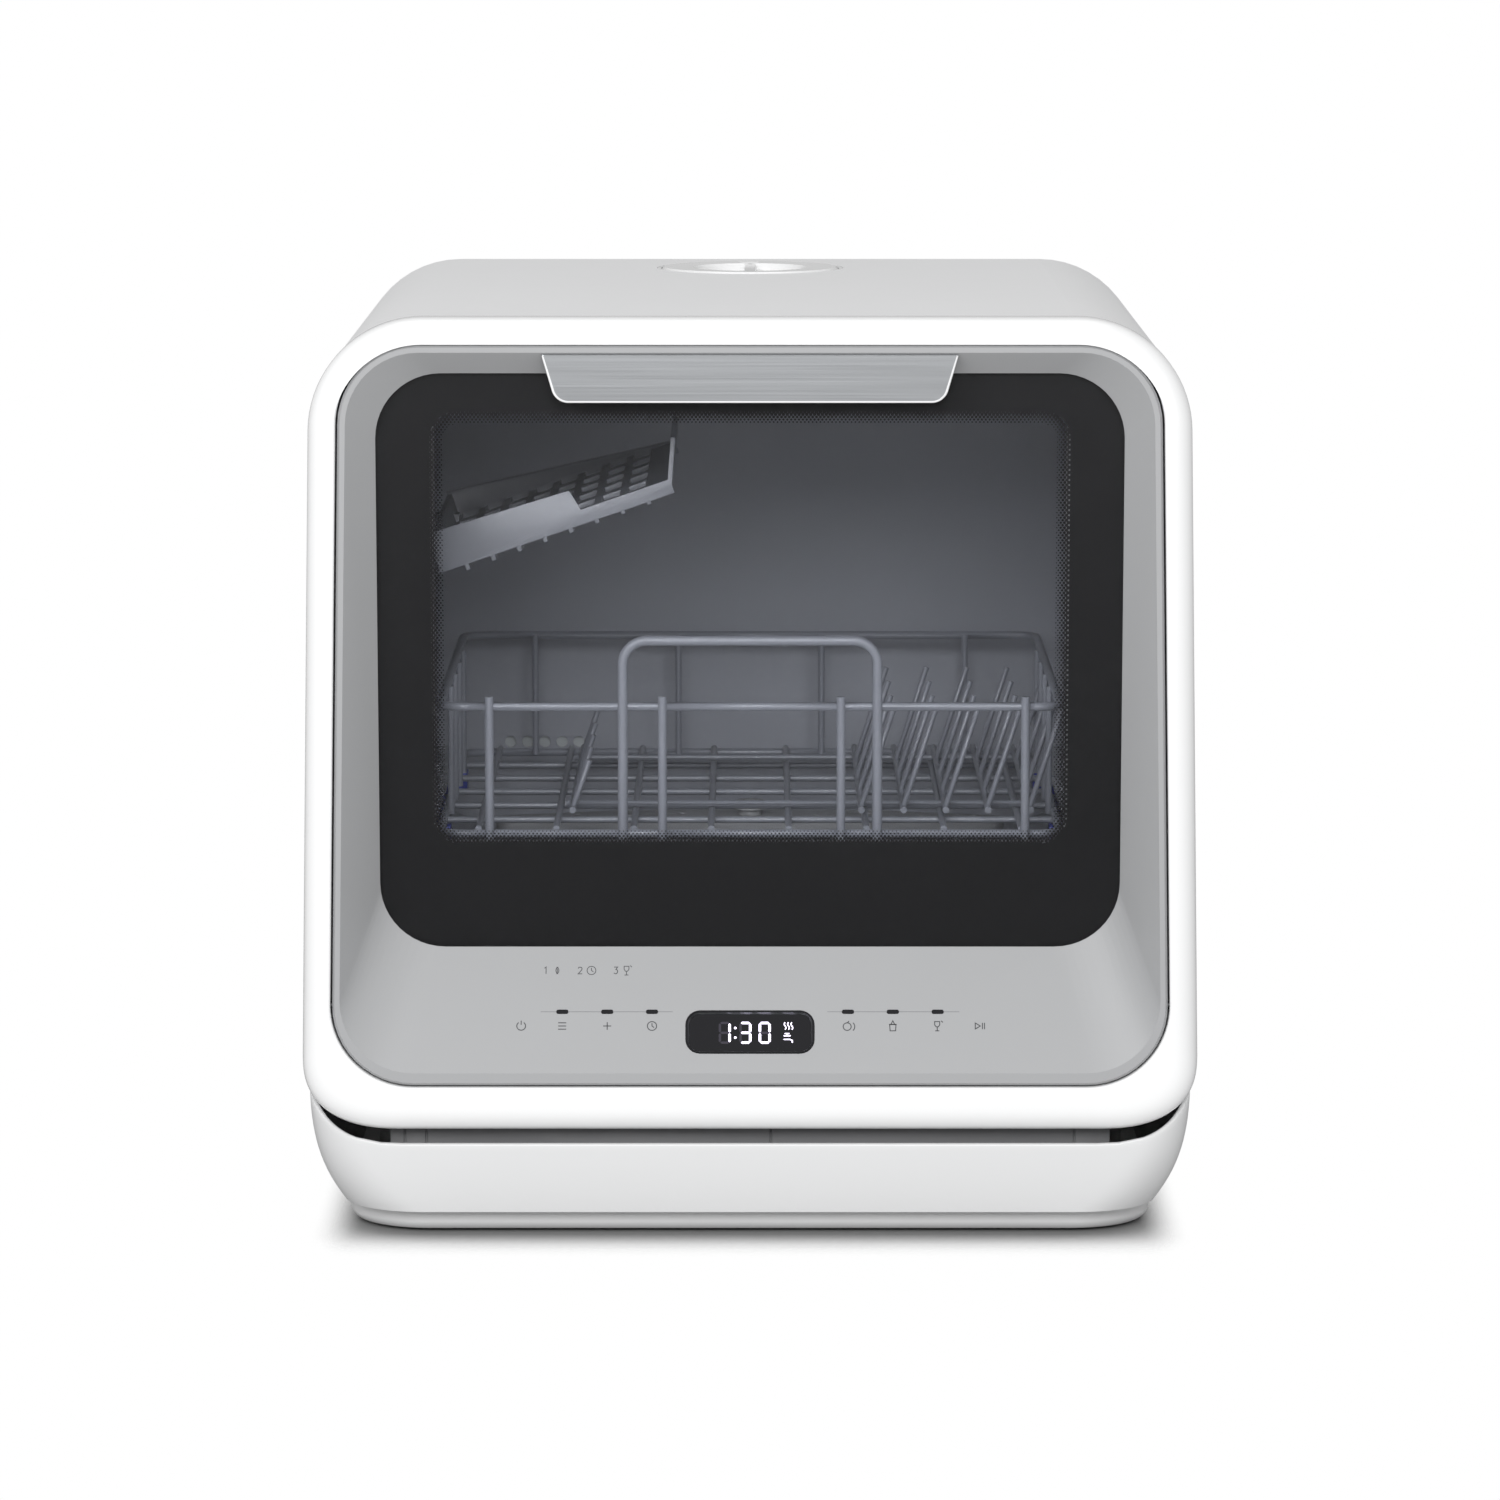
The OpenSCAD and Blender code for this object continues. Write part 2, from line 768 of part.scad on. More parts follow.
// ---------- wash system ----------
module sump()
    color("dimgray")
        difference() {
            translate([0, sump_y, 0])
                rotate_extrude()
                    polygon([
                        [0, sump_z], [30, sump_z], [sump_r - 12, sump_z + 14],
                        [sump_r - 6, sump_z + 32], [sump_r - 1, sump_z + 32],
                        [sump_r - 1, tub_z0 - tub_wall - 0.05],
                        [sump_r - 8, tub_z0 - tub_wall - 0.05], [sump_r - 8, sump_z + 33],
                        [sump_r - 14, sump_z + 16.5], [28, sump_z + 2.5], [0, sump_z + 2.5]
                    ]);
            // suction port, delivery port and drain port
            translate([-24, sump_y, sump_z - 6])
                cylinder(r = 7, h = 30);
            translate([0, 0, sump_z - 6])
                cylinder(r = 6.5, h = 30);
            translate([0, 0, sump_z + 2.9])
                cylinder(r = 9.1, h = 30);
            translate([26, sump_y + 4, sump_z - 6])
                cylinder(r = 6, h = 30);
        }

module filter_plate()
    color("silver")
        difference() {
            translate([0, sump_y, tub_z0 + 0.1])
                cylinder(r = sump_r - 3, h = 1.2);
            translate([0, filter_off, tub_z0 - 1])
                cylinder(r = filter_r + 0.5, h = 4);
            translate([0, 0, tub_z0 - 1])
                cylinder(r = 14.5, h = 4);
            // perforations
            for (k = [0:2], i = [0:11])
                if (abs(sin(i * 30 + 15)) < 0.8)
                    translate([0, sump_y, tub_z0 - 1])
                        rotate(i * 30 + 15)
                            translate([40 + k * 8, 0, 0])
                                cylinder(r = 2.2, h = 4);
        }

module filter_cup()
    color("gray")
        translate([0, filter_off, 0])
            difference() {
                union() {
                    rotate_extrude()
                        polygon([
                            [0, sump_z + 16], [filter_r - 4, sump_z + 16],
                            [filter_r - 1.2, tub_z0 + 1.6],
                            [filter_r + 3, tub_z0 + 1.6], [filter_r + 3, tub_z0 + 3],
                            [filter_r - 3.2, tub_z0 + 3], [filter_r - 5.8, sump_z + 18], [0, sump_z + 18]
                        ]);
                    // grip bar across the top
                    block([-filter_r + 1.8, -2, tub_z0 - 6], [filter_r - 1.8, 2, tub_z0 + 8]);
                }
                for (i = [0:7])
                    rotate(i * 45 + 22.5)
                        translate([filter_r - 10, -1.5, sump_z + 21])
                            cube([12, 3, 16]);
            }

module hub_post()
    color("gray")
        rotate_extrude()
            polygon([
                [3.5, sump_z + 3], [9, sump_z + 3], [9, tub_z0 - 4], [14, tub_z0 - 2], [14, tub_z0 + 4],
                [11, arm_z - 0.5], [hub_pin_r, arm_z - 0.5], [hub_pin_r, arm_z + arm_h + 2],
                [hub_pin_r + 3, arm_z + arm_h + 2], [hub_pin_r + 1, arm_z + arm_h + 6],
                [3.5, arm_z + arm_h + 6]
            ]);

// one half of the hollow spray arm
module arm_half(g)
    hull() {
        translate([0, 0, arm_z + g])
            cylinder(r = 17 - g, h = arm_h - 2 * g - 1, $fn = 32);
        translate([arm_len / 2 - 10, 0, arm_z + 2 + g])
            cylinder(r = 10 - g, h = arm_h - 5 - 2 * g, $fn = 32);
        translate([arm_len / 4, 0, arm_z + 1 + g])
            cylinder(r = 15 - g, h = arm_h - 2.4 - 2 * g, $fn = 32);
    }

module spray_arm()
    color("lightgray")
        difference() {
            for (s = [0, 180])
                rotate(s)
                    arm_half(0);
            for (s = [0, 180])
                rotate(s)
                    arm_half(1.6);
            translate([0, 0, arm_z - 1])
                cylinder(r = hub_pin_r + run_fit, h = arm_h + 4);
            // jets, turned outwards from the middle to the tip
            for (s = [0, 180], i = [0:3])
                rotate(s)
                    translate([34 + i * (arm_len / 2 - 50) / 3, (i % 2) * 7 - 3.5, arm_z + arm_h / 2])
                        rotate([0, i * 5, 0])
                            cylinder(r = 1.8, h = arm_h);
        }

module heater()
    color("silver") {
        translate([0, 0, tub_z0 + 7])
            rotate([0, 0, 98])
                bend(heater_ring_r, heater_r, 344);
        for (x = [-14, 14])
            rod([x, heater_ring_r - 1, tub_z0 - 14], [x, heater_ring_r - 1, tub_z0 + 8], heater_r - 0.05);
        // clips that hold the ring on the tub floor
        for (a = [180, 270, 0])
            rotate(a)
                block([heater_ring_r - 3, -5, tub_z0 + 0.05], [heater_ring_r + 3, 5, tub_z0 + 5]);
    }

// x stations of the wash pump
volute_x0 = -46;
volute_x1 = -70;
motor_x1 = -126;

module wash_pump()
    color("dimgray")
        difference() {
            union() {
                translate([volute_x0, pump_y, pump_z])
                    rotate([0, -90, 0]) {
                        cylinder(r = impeller_r + 6, h = volute_x0 - volute_x1);
                        cylinder(r = 24, h = volute_x0 - motor_x1);
                        translate([0, 0, -8])
                            cylinder(r = 9, h = 9);
                    }
                // feet on the base floor
                for (x = [-64, -112])
                    block([x - 4, pump_y - 20, floor_z + 0.05], [x + 4, pump_y + 20, pump_z - 10]);
                // cooling fins of the motor
                for (i = [0:5])
                    translate([-80 - i * 8, pump_y, pump_z])
                        rotate([0, -90, 0])
                            cylinder(r = 26.5, h = 3);
            }
            translate([volute_x0 - 2.5, pump_y, pump_z])
                rotate([0, -90, 0])
                    cylinder(r = impeller_r + 3, h = volute_x0 - volute_x1 - 5);
            translate([volute_x0 + 10, pump_y, pump_z])
                rotate([0, -90, 0])
                    cylinder(r = 6.5, h = 20);
            translate([-30, pump_y, pump_z])
                rotate([0, -90, 0])
                    cylinder(r = 3 + run_fit, h = 90);
            // seat of the delivery hose
            rod([-58, pump_y - 40, pipe_z], [-58, pump_y - 23.95, pipe_z], 6.05);
        }

module pump_rotor()
    color("gainsboro")
        translate([0, pump_y, pump_z])
            rotate([0, -90, 0]) {
                translate([0, 0, -volute_x0 + 3.5 + 9])
                    cylinder(r = 3, h = 55);
                translate([0, 0, -volute_x1 - 7])
                    cylinder(r = impeller_r, h = 2.5);
                for (i = [0:impeller_vanes - 1])
                    rotate(i * 360 / impeller_vanes)
                        translate([14.5, 0, -volute_x1 - 16])
                            difference() {
                                cylinder(r = 11, h = 9.5);
                                translate([0, 0, -1])
                                    cylinder(r = 9.4, h = 12);
                                translate([-20, 0, -1])
                                    cube([40, 40, 12]);
                            }
            }

module drain_pump()
    color("dimgray") {
        translate([40, sump_y + 4, 70])
            rotate([0, 90, 0])
                cylinder(r = 19, h = 34);
        translate([73, sump_y + 4, 70])
            rotate([0, 90, 0])
                cylinder(r = 15, h = 30);
        block([46, sump_y - 8, floor_z + 0.05], [70, sump_y + 16, 56]);
    }

// hoses between sump, pumps and spray arm hub
module wash_pipes()
    color("black") {
        // sump to wash pump
        rod([-24, pump_y, pump_z + 12.5], [-24, pump_y, sump_z - 0.05], 8.8);
        translate([-36.5, pump_y, pump_z + 12.5])
            rotate([90, 0, 0])
                rotate([0, 0, -90])
                    bend(12.5, 8.8);
        rod([-36.5, pump_y, pump_z], [volute_x0 + 8.1, pump_y, pump_z], 8.8);
        // sump to drain pump
        rod([26, sump_y + 4, 68], [26, sump_y + 4, sump_z - 0.05], 7.8);
        rod([26, sump_y + 4, 70], [39.9, sump_y + 4, 70], 7.5);
        // wash pump to the hub of the spray arm
        rod([-58, pump_y - 24, pipe_z], [-58, -8, pipe_z], 6);
        translate([-58, -8, pipe_z])
            sphere(r = 7.2);
        rod([-58, -8, pipe_z], [0, 0, sump_z - 9], 6);
        translate([0, 0, sump_z - 9])
            sphere(r = 7.2);
        rod([0, 0, sump_z - 9], [0, 0, sump_z - 0.05], 6.2);
    }

// corrugated drain hose from the drain pump to the spigot on the back
module drain_hose()
    color("gray") {
        rod([103.1, sump_y + 4, 70], [118, sump_y + 4, 70], 8);
        rod([118, sump_y + 4, 70], [118, sump_y + 60, 70], 8.2);
        for (i = [0:6])
            rod([118, sump_y + 14 + i * 6, 70], [118, sump_y + 17 + i * 6, 70], 9.6);
        rod([118, sump_y + 60, 70], [spigot_x, pocket_y - 36, port_z], 8.1);
        rod([spigot_x, pocket_y - 38, port_z], [spigot_x, pocket_y - 14.1, port_z], 8.3);
    }

// ---------- tank and filler ----------
module tank_form(g)
    along_x(-tank_half + g, tank_half - g)
        polygon([
            [tub_back + tub_wall + 0.4 + g, tank_z0 + g], [rear_y - 5 - g, tank_z0 + g],
            [rear_y - 5 - g, tank_top - g], [filler_y - 52 + g, tank_top - g],
            [filler_y - 52 + g, tub_z1 + tub_wall + 0.4 + g],
            [tub_back + tub_wall + 0.4 + g, tub_z1 + tub_wall + 0.4 + g]
        ]);

module water_tank()
    color("gainsboro")
        difference() {
            tank_form(0);
            tank_form(tank_wall);
            translate([0, filler_y, tank_top - 10])
                cylinder(r = filler_bore + 2.2, h = 20);
            // round the upper corners to the casing
            along_y(0, back)
                difference() {
                    translate([-2 * half_top, body_h * 0.7])
                        square([4 * half_top, body_h]);
                    polygon(outline(-inner_step - 1));
                }
        }

module filler_neck()
    color("white")
        translate([0, filler_y, 0])
            rotate_extrude()
                polygon([
                    [filler_bore, tank_top - 7], [filler_bore + 2, tank_top - 7],
                    [filler_bore + 2, tank_top + 0.1], [cap_r + 2.3, tank_top + 0.1],
                    [cap_r + 2.3, body_h - 0.8], [cap_r + 0.6, body_h - 0.8],
                    [cap_r + 0.6, tank_top + 2.2], [filler_bore, tank_top + 2.2]
                ]);

module filler_cap()
    color("white")
        translate([0, filler_y, 0])
            difference() {
                union() {
                    rotate_extrude()
                        polygon([
                            [0, body_h - 9], [cap_recess_r, body_h - 9],
                            [cap_recess_r + 1, body_h - 1.2], [cap_recess_r + 2.2, body_h - 0.3],
                            [cap_r - 1.5, body_h], [cap_r, body_h - 1.4],
                            [cap_r, tank_top + 4], [cap_r - 2, tank_top + 4],
                            [cap_r - 2, body_h - 3.2], [filler_bore - 0.5, body_h - 3.6],
                            [filler_bore - 0.5, tank_top - 6], [filler_bore - 2.5, tank_top - 6],
                            [filler_bore - 2.5, body_h - 11], [0, body_h - 11]
                        ]);
                    // grip bar
                    block(
                        [-grip_w / 2, -cap_recess_r - 1.5, body_h - 10],
                        [grip_w / 2, cap_recess_r + 1.5, body_h - 0.8]
                    );
                }
            }

// ---------- drying fan ----------
module fan_housing()
    color("dimgray")
        translate([fan_x, fan_y, fan_z])
            rotate([90, 0, 0])
                difference() {
                    union() {
                        difference() {
                            linear_extrude(32)
                                polygon(box_line(-fan_box / 2, fan_box / 2, -fan_box / 2, fan_box / 2, 6));
                            translate([0, 0, -1])
                                cylinder(r = fan_r + 3, h = 40);
                        }
                        // motor spider
                        translate([0, 0, 27])
                            cylinder(r = 13, h = 5);
                        for (a = [45:90:315])
                            rotate(a)
                                translate([10, -2, 29])
                                    cube([fan_r - 5, 4, 3]);
                    }
                    translate([0, 0, 20])
                        cylinder(r = 2 + run_fit, h = 11);
                }

module fan_rotor()
    color("black")
        translate([fan_x, fan_y, fan_z])
            rotate([90, 0, 0]) {
                translate([0, 0, 5])
                    cylinder(r = 14, h = 20);
                translate([0, 0, 24])
                    cylinder(r = 2, h = 6.5);
                for (i = [0:fan_blades - 1])
                    rotate(i * 360 / fan_blades)
                        translate([12.5, 0, 15])
                            rotate([38, 0, 0])
                                translate([0, -0.9, -11])
                                    cube([fan_r - 13, 1.8, 22]);
            }

// ---------- cup shelf ----------
module shelf_pegs()
    color("slategray")
        for (y = peg_ys)
            block([-tub_half + 0.05, y, shelf_z - 8], [shelf_x - 6, y + peg_w, shelf_z + 3]);

// the shelf in its own tilted plane, x from the wall, z up
module in_shelf_plane()
    translate([shelf_x, shelf_y0, shelf_z])
        rotate([0, -shelf_tilt, 0])
            children();

module cup_shelf()
    color("lightslategray") {
        in_shelf_plane()
            difference() {
                union() {
                    cube([shelf_w, shelf_l, shelf_t]);
                    // front wall, tall next to the wall and low further out
                    along_y(0, shelf_t)
                        polygon([
                            [0, -4], [shelf_w, -4], [shelf_w, 3], [shelf_w * 0.62, 3],
                            [shelf_w * 0.6, 13.5], [0, 16]
                        ]);
                    along_y(shelf_l - shelf_t, shelf_l)
                        polygon([[0, -4], [shelf_w, -4], [shelf_w, 3], [0, 16]]);
                    // upturned outer lip
                    along_y(0, shelf_l)
                        polygon([
                            [shelf_w - 2.4, 0], [shelf_w, 0], [shelf_w + 9, 21], [shelf_w + 7, 22]
                        ]);
                    // inner edge
                    cube([shelf_t, shelf_l, 14]);
                    // ribs underneath
                    for (i = [1:8])
                        translate([i * shelf_w / 9 - 1, 0, -7 + i * 0.2])
                            cube([2, shelf_l, 8]);
                }
                // drain slots between the ribs
                for (i = [0:7], j = [0:4])
                    translate([i * shelf_w / 9 + 4.5, 12 + j * shelf_l / 5, -1])
                        cube([shelf_w / 9 - 4, shelf_l / 5 - 14, shelf_t + 2]);
            }
        // saddles over the pegs
        for (y = peg_ys)
            difference() {
                block([-tub_half + 1, y - 2.4, shelf_z - 4], [shelf_x + 3, y + peg_w + 2.4, shelf_z + 7]);
                block([-tub_half, y - 0.4, shelf_z - 9], [shelf_x - 4, y + peg_w + 0.4, shelf_z + 3.4]);
            }
    }

// ---------- door ----------
// the cone-like recess from the rim back to the pane, grown by g
module recess(g)
    hull() {
        along_y(front - 6, door_front)
            polygon(rim_line(g));
        in_glass_plane()
            along_y(g, g + e)
                polygon(glass_line(g));
    }

// what is cut off along the door's lower back edge, grown by g
module low_edge(g)
    along_x(-half_bottom, half_bottom)
        polygon([
            [door_back - low_cut - 5 - g * sqrt(2), door_z0 - 5], [door_back + 10, door_z0 - 5],
            [door_back + 10, door_z0 + low_cut + 10 + g * sqrt(2)]
        ]);

module door_frame()
    color("silver")
        difference() {
            hull() {
                along_y(door_front, door_front + e)
                    polygon(door_line(-1.2));
                along_y(door_front + 1.4, door_front + 1.5)
                    polygon(door_line());
                along_y(door_back - e, door_back)
                    polygon(door_line(-1.3));
            }
            recess(0);
            low_edge(0);
            // hollow behind the bevels and the control panel
            difference() {
                along_y(door_front + door_wall, door_back + 1)
                    polygon(door_line(-1.3 - door_wall));
                recess(door_wall);
                low_edge(door_wall);
                for (s = [-1, 1])
                    translate([s * (door_half_bottom - 7.6), hinge_y, hinge_z])
                        rotate([0, 90, 0])
                            cylinder(r = 5.5, h = 20, center = true);
            }
            in_glass_plane() {
                along_y(-1, 40)
                    polygon(glass_line(0));
                along_y(-0.05, 40)
                    polygon(glass_line(3.1));
            }
            for (s = [0, 1])
                mirror([s, 0, 0])
                    translate([door_half_bottom - 5.2, hinge_y, hinge_z])
                        rotate([0, 90, 0])
                            cylinder(r = pin_r + run_fit, h = 8);
            in_panel_plane() {
                along_y(-2, 8)
                    polygon(display_line(0.1));
                for (x = lamp_xs)
                    along_y(-2, 8)
                        polygon(lamp_line(x, 0.05));
            }
        }

// x of the six indicator windows
lamp_xs = [for (s = [-1, 1], i = [0:2]) s * (lamp_first + i * lamp_pitch)];

function display_line(g) =
    box_line(
        -display_w / 2 - g, display_w / 2 + g,
        display_up - display_h / 2 - g, display_up + display_h / 2 + g, display_r + g
    );

function lamp_line(x, g) =
    box_line(
        x - lamp_w / 2 - g, x + lamp_w / 2 + g,
        lamp_up - lamp_h / 2 - g, lamp_up + lamp_h / 2 + g, 0.9 + g, 4
    );

module hinge_pins()
    color("silver")
        for (s = [-1, 1])
            translate([s * (door_half_bottom + 1.25), hinge_y, hinge_z])
                rotate([0, 90, 0])
                    cylinder(r = pin_r, h = 12.1, center = true);

module door_glass()
    color("black")
        in_glass_plane()
            along_y(0, glass_t)
                polygon(glass_line(3));

module display_bezel()
    color("silver")
        in_panel_plane()
            along_y(0.4, 4.5)
                difference() {
                    polygon(display_line(0));
                    polygon(display_line(-1.6));
                }

module display_lens()
    color("black")
        in_panel_plane()
            along_y(1.2, 4.4)
                polygon(display_line(-1.65));

module status_lamps()
    color("black")
        in_panel_plane()
            for (x = lamp_xs)
                along_y(-0.15, 3.4)
                    polygon(lamp_line(x, 0));

module control_board()
    color("green")
        in_panel_plane() {
            along_y(5.2, 6.8)
                translate([-118, 8])
                    square([236, 36]);
            // keypad sensors and processor
            for (x = [-108.8, -89.3, -67.9, -46.6, 46.6, 67.9, 89.3, 109.3])
                translate([x, 6, 23.5])
                    rotate([90, 0, 0])
                        cylinder(r = 4, h = 3.3);
            along_y(4.55, 5.3)
                translate([-28, display_up - 8])
                    square([56, 16]);
            along_y(6.7, 9.6)
                translate([-16, 14])
                    square([30, 22]);
        }

// inner panel of the door: a back plate with a raised, hollow plateau round the window
module door_liner()
    color("gray")
        difference() {
            union() {
                along_y(door_back + 0.05, door_back + 2.4)
                    polygon(door_line(-4));
                along_y(door_back + 1, liner_back)
                    polygon(tub_line(flange_w - 1));
            }
            low_edge(0);
            along_y(door_back - 1, liner_back - 2.2)
                difference() {
                    polygon(tub_line(flange_w - 3.2));
                    polygon(window_line(3));
                }
            along_y(door_back - 1, liner_back + 1)
                polygon(window_line(0));
            along_y(door_back + 1.8, door_back + 1.9 + inner_t)
                polygon(window_line(1.6));
            along_y(door_back - 1, liner_back + 1)
                polygon(dispenser_line(0.15));
            // slot for the latch tongue
            block(
                [-9 - fit, door_back - 1, tongue_z - fit],
                [9 + fit, door_back + 8, tongue_z + 3 + fit]
            );
        }

function window_line(g) =
    box_line(-window_half - g, window_half + g, window_z0 - g, window_z1 + g, 10 + g);

module inner_glass()
    color("lightblue")
        along_y(door_back + 1.85, door_back + 1.85 + inner_t)
            polygon(window_line(1.5));

module handle()
    color("silver")
        difference() {
            intersection() {
                along_x(-handle_half_top - 12.4, handle_half_top + 12.4)
                    polygon([
                        [door_front - 0.3, handle_z0], [door_front + 0.4, handle_z0 - 0.2],
                        [door_front + handle_t, handle_z0 + 0.6],
                        [door_front + handle_t, handle_z1 - 4.2],
                        [door_front + 7.5, handle_z1 - 4.2], [door_front + 5.2, handle_z1 - 1.6],
                        [door_front + handle_t, handle_z1], [door_front - 0.3, handle_z1]
                    ]);
                along_y(front - 5, front + 20)
                    polygon(rounded(
                        [
                            [-handle_half_low, handle_z0], [handle_half_low, handle_z0],
                            [handle_half_top, handle_z1], [-handle_half_top, handle_z1]
                        ],
                        [handle_r, handle_r, 0.3, 0.3], 8
                    ));
            }
            recess_back();
        }

// everything outside the recess, behind the rim plane
module recess_back()
    difference() {
        along_y(door_front + 0.02, front + 30)
            translate([-handle_half_top - 22.4, handle_z0 - 20])
                square([2 * handle_half_top + 44.8, 60]);
        recess(-0.05);
    }

module latch_tongue()
    color("silver")
        difference() {
            union() {
                block([-9, door_back - 3, tongue_z], [9, tub_front - 0.6, tongue_z + 3]);
                block([-15, door_back - 3, tongue_z - 3], [15, door_back - 0.05, tongue_z + 4.5]);
            }
            // notch that the strike's spring falls into
            block([-5, tub_front - 3.6, tongue_z - 1], [5, tub_front - 2, tongue_z + 5]);
        }

// ---------- detergent dispenser ----------
disp_x0 = -66;
disp_x1 = 2;
disp_z0 = tub_z0 + 5;
disp_z1 = disp_z0 + 26;
lid_t = 1.6;
lid_pin_r = 0.85;
lid_y = liner_back + 1.4;
lid_z = disp_z0 + 2.4;

function dispenser_line(g) =
    box_line(disp_x0 - g, disp_x1 + g, disp_z0 - g, disp_z1 + g, 4 + g);

module dispenser()
    color("dimgray")
        difference() {
            union() {
                along_y(door_back + 0.3, liner_back + 1)
                    polygon(dispenser_line(0));
                // cheeks that hold the lid's pin
                block([disp_x0, liner_back, lid_z - 2.2], [disp_x0 + 4, lid_y + 2, lid_z + 2]);
                block([disp_x1 - 25, liner_back, lid_z - 2.2], [disp_x1 - 20.5, lid_y + 2, lid_z + 2]);
            }
            along_y(door_back + 2.5, liner_back + 2)
                polygon(box_line(disp_x0 + 3, disp_x1 - 24, disp_z0 + 5, disp_z1 - 2, 3));
            // pre-wash dimple
            along_y(liner_back - 4, liner_back + 2)
                polygon(box_line(disp_x1 - 20, disp_x1 - 3, disp_z0 + 6, disp_z1 - 4, 3));
            // room for the lid's knuckle, between its cheeks
            block(
                [disp_x0 + 2.6, liner_back - 1, lid_z - 2.2],
                [disp_x1 - 23.6, liner_back + 6, lid_z + 2.6]
            );
            // pin bore
            translate([disp_x0 - 1, lid_y, lid_z])
                rotate([0, 90, 0])
                    cylinder(r = lid_pin_r + run_fit, h = disp_x1 - disp_x0 - 18);
        }

module dispenser_lid()
    color("gray") {
        translate([disp_x0 + 3, lid_y, lid_z])
            rotate([0, 90, 0])
                cylinder(r = 1.7, h = disp_x1 - disp_x0 - 27);
        translate([disp_x0 + 1, lid_y, lid_z])
            rotate([0, 90, 0])
                cylinder(r = lid_pin_r, h = disp_x1 - disp_x0 - 23);
        // plate with a bead round its edge
        difference() {
            along_y(liner_back + 1.3, liner_back + 1.3 + lid_t + 0.8)
                polygon(box_line(disp_x0 + 3, disp_x1 - 24, lid_z, disp_z1 - 0.5, 1));
            along_y(liner_back + 1.3 + lid_t, liner_back + 6)
                polygon(box_line(disp_x0 + 5, disp_x1 - 26, lid_z + 2, disp_z1 - 2.5, 1));
        }
    }

// ---------- basket ----------
// a closed rectangular rail with round corners at height z
module wire_loop(z, r)
    translate([0, 0, z])
        for (s = [0, 1])
            mirror([s, 0, 0]) {
                rod([0, basket_front, 0], [basket_half - basket_r, basket_front, 0], r);
                rod([0, basket_back, 0], [basket_half - basket_r, basket_back, 0], r);
                rod(
                    [basket_half, basket_front + basket_r, 0],
                    [basket_half, basket_back - basket_r, 0], r
                );
                translate([basket_half - basket_r, basket_front + basket_r, 0])
                    rotate(-90)
                        bend(basket_r, r);
                translate([basket_half - basket_r, basket_back - basket_r, 0])
                    bend(basket_r, r);
            }

module basket_frame()
    color("lightsteelblue") {
        wire_loop(basket_z, wire_r);
        wire_loop(rail_z, wire_r);
        // front uprights, seen in front of the rails
        for (x = [24 - basket_half, -42, 43.6, basket_half - 17])
            rod([x, basket_front - 1.7, basket_z - 3.4], [x, basket_front - 1.7, rail_z + 5], wire_r);
        // uprights along the sides and the back
        for (s = [-1, 1], i = [1:4])
            let (x = s * (basket_half - 2.5), y = basket_front + (i + 0.5) * basket_d / 6)
                rod([x, y, basket_z - 0.7], [x, y, rail_z + 0.6], thin_r);
        for (x = [-0.75, -0.25, 0.25, 0.75] * basket_half)
            rod([x, basket_back - 2.5, basket_z - 0.7], [x, basket_back - 2.5, rail_z + 0.6], thin_r);
        // raised loop
        for (s = [0, 1])
            mirror([s, 0, 0]) {
                rod(
                    [loop_half, basket_front - 1.8, basket_z - 3.4],
                    [loop_half, basket_front - 1.8, loop_z - 11.5], wire_r + 0.3
                );
                translate([loop_half - 11.5, basket_front - 1.8, loop_z - 11.5])
                    rotate([90, 0, 0])
                        bend(11.5, wire_r + 0.3);
                rod(
                    [0, basket_front - 1.8, loop_z],
                    [loop_half - 11.5, basket_front - 1.8, loop_z], wire_r + 0.3
                );
            }
        // floor wires
        for (i = [0:floor_wires - 1])
            let (x = -basket_half + (i + 0.5) * 2 * basket_half / floor_wires)
                rod([x, basket_front + 0.4, basket_z + 2.3], [x, basket_back - 0.4, basket_z + 2.3], thin_r);
        for (i = [1:5])
            rod(
                [-basket_half + 0.3, basket_front + i * basket_d / 6, basket_z - 0.2],
                [basket_half - 0.3, basket_front + i * basket_d / 6, basket_z - 0.2], thin_r
            );
    }

// rows of leaning tines that hold the plates, and short ones for cups
module plate_tines()
    color("lightsteelblue") {
        for (i = [0:tine_rows - 1])
            let (x = tine_x0 + i * tine_pitch, z = basket_z + 7) {
                rod([x, basket_front + 30, z], [x, basket_back - 30, z], thin_r);
                for (y = [basket_front + 40, basket_front + 95, basket_front + 150, basket_front + 205])
                    rod(
                        [x, y, z], [x + tine_len * sin(tine_lean), y, z + tine_len * cos(tine_lean)],
                        thin_r - 0.2
                    );
            }
        for (y = [basket_front + 60, basket_back - 60])
            rod(
                [cup_x - 4, y, basket_z + 5.75],
                [tine_x0 + (tine_rows - 1) * tine_pitch + 2, y, basket_z + 5.75], thin_r
            );
        // cup row on the left
        rod([cup_x, basket_front + 30, basket_z + 7], [cup_x, basket_back - 30, basket_z + 7], thin_r);
        for (j = [0:4])
            rod(
                [cup_x, basket_front + 40 + j * 45, basket_z + 7],
                [cup_x + 8, basket_front + 40 + j * 45, basket_z + 30], thin_r - 0.2
            );
    }

module basket_glides()
    color("royalblue")
        for (s = [-1, 1], y = [basket_front + 48, basket_back - 40])
            difference() {
                block(
                    [s > 0 ? basket_half - 3.2 : -tub_half + 2.6, y - 10, runner_z + 2.5],
                    [s > 0 ? tub_half - 2.6 : -basket_half + 3.2, y + 10, runner_z + 15.1]
                );
                // waist that clears the rail's lip
                block(
                    [s > 0 ? tub_half - runner_w - 0.6 : -tub_half, y - 12, runner_z + 14.9],
                    [s > 0 ? tub_half : -tub_half + runner_w + 0.6, y + 12, runner_z + 19]
                );
            }

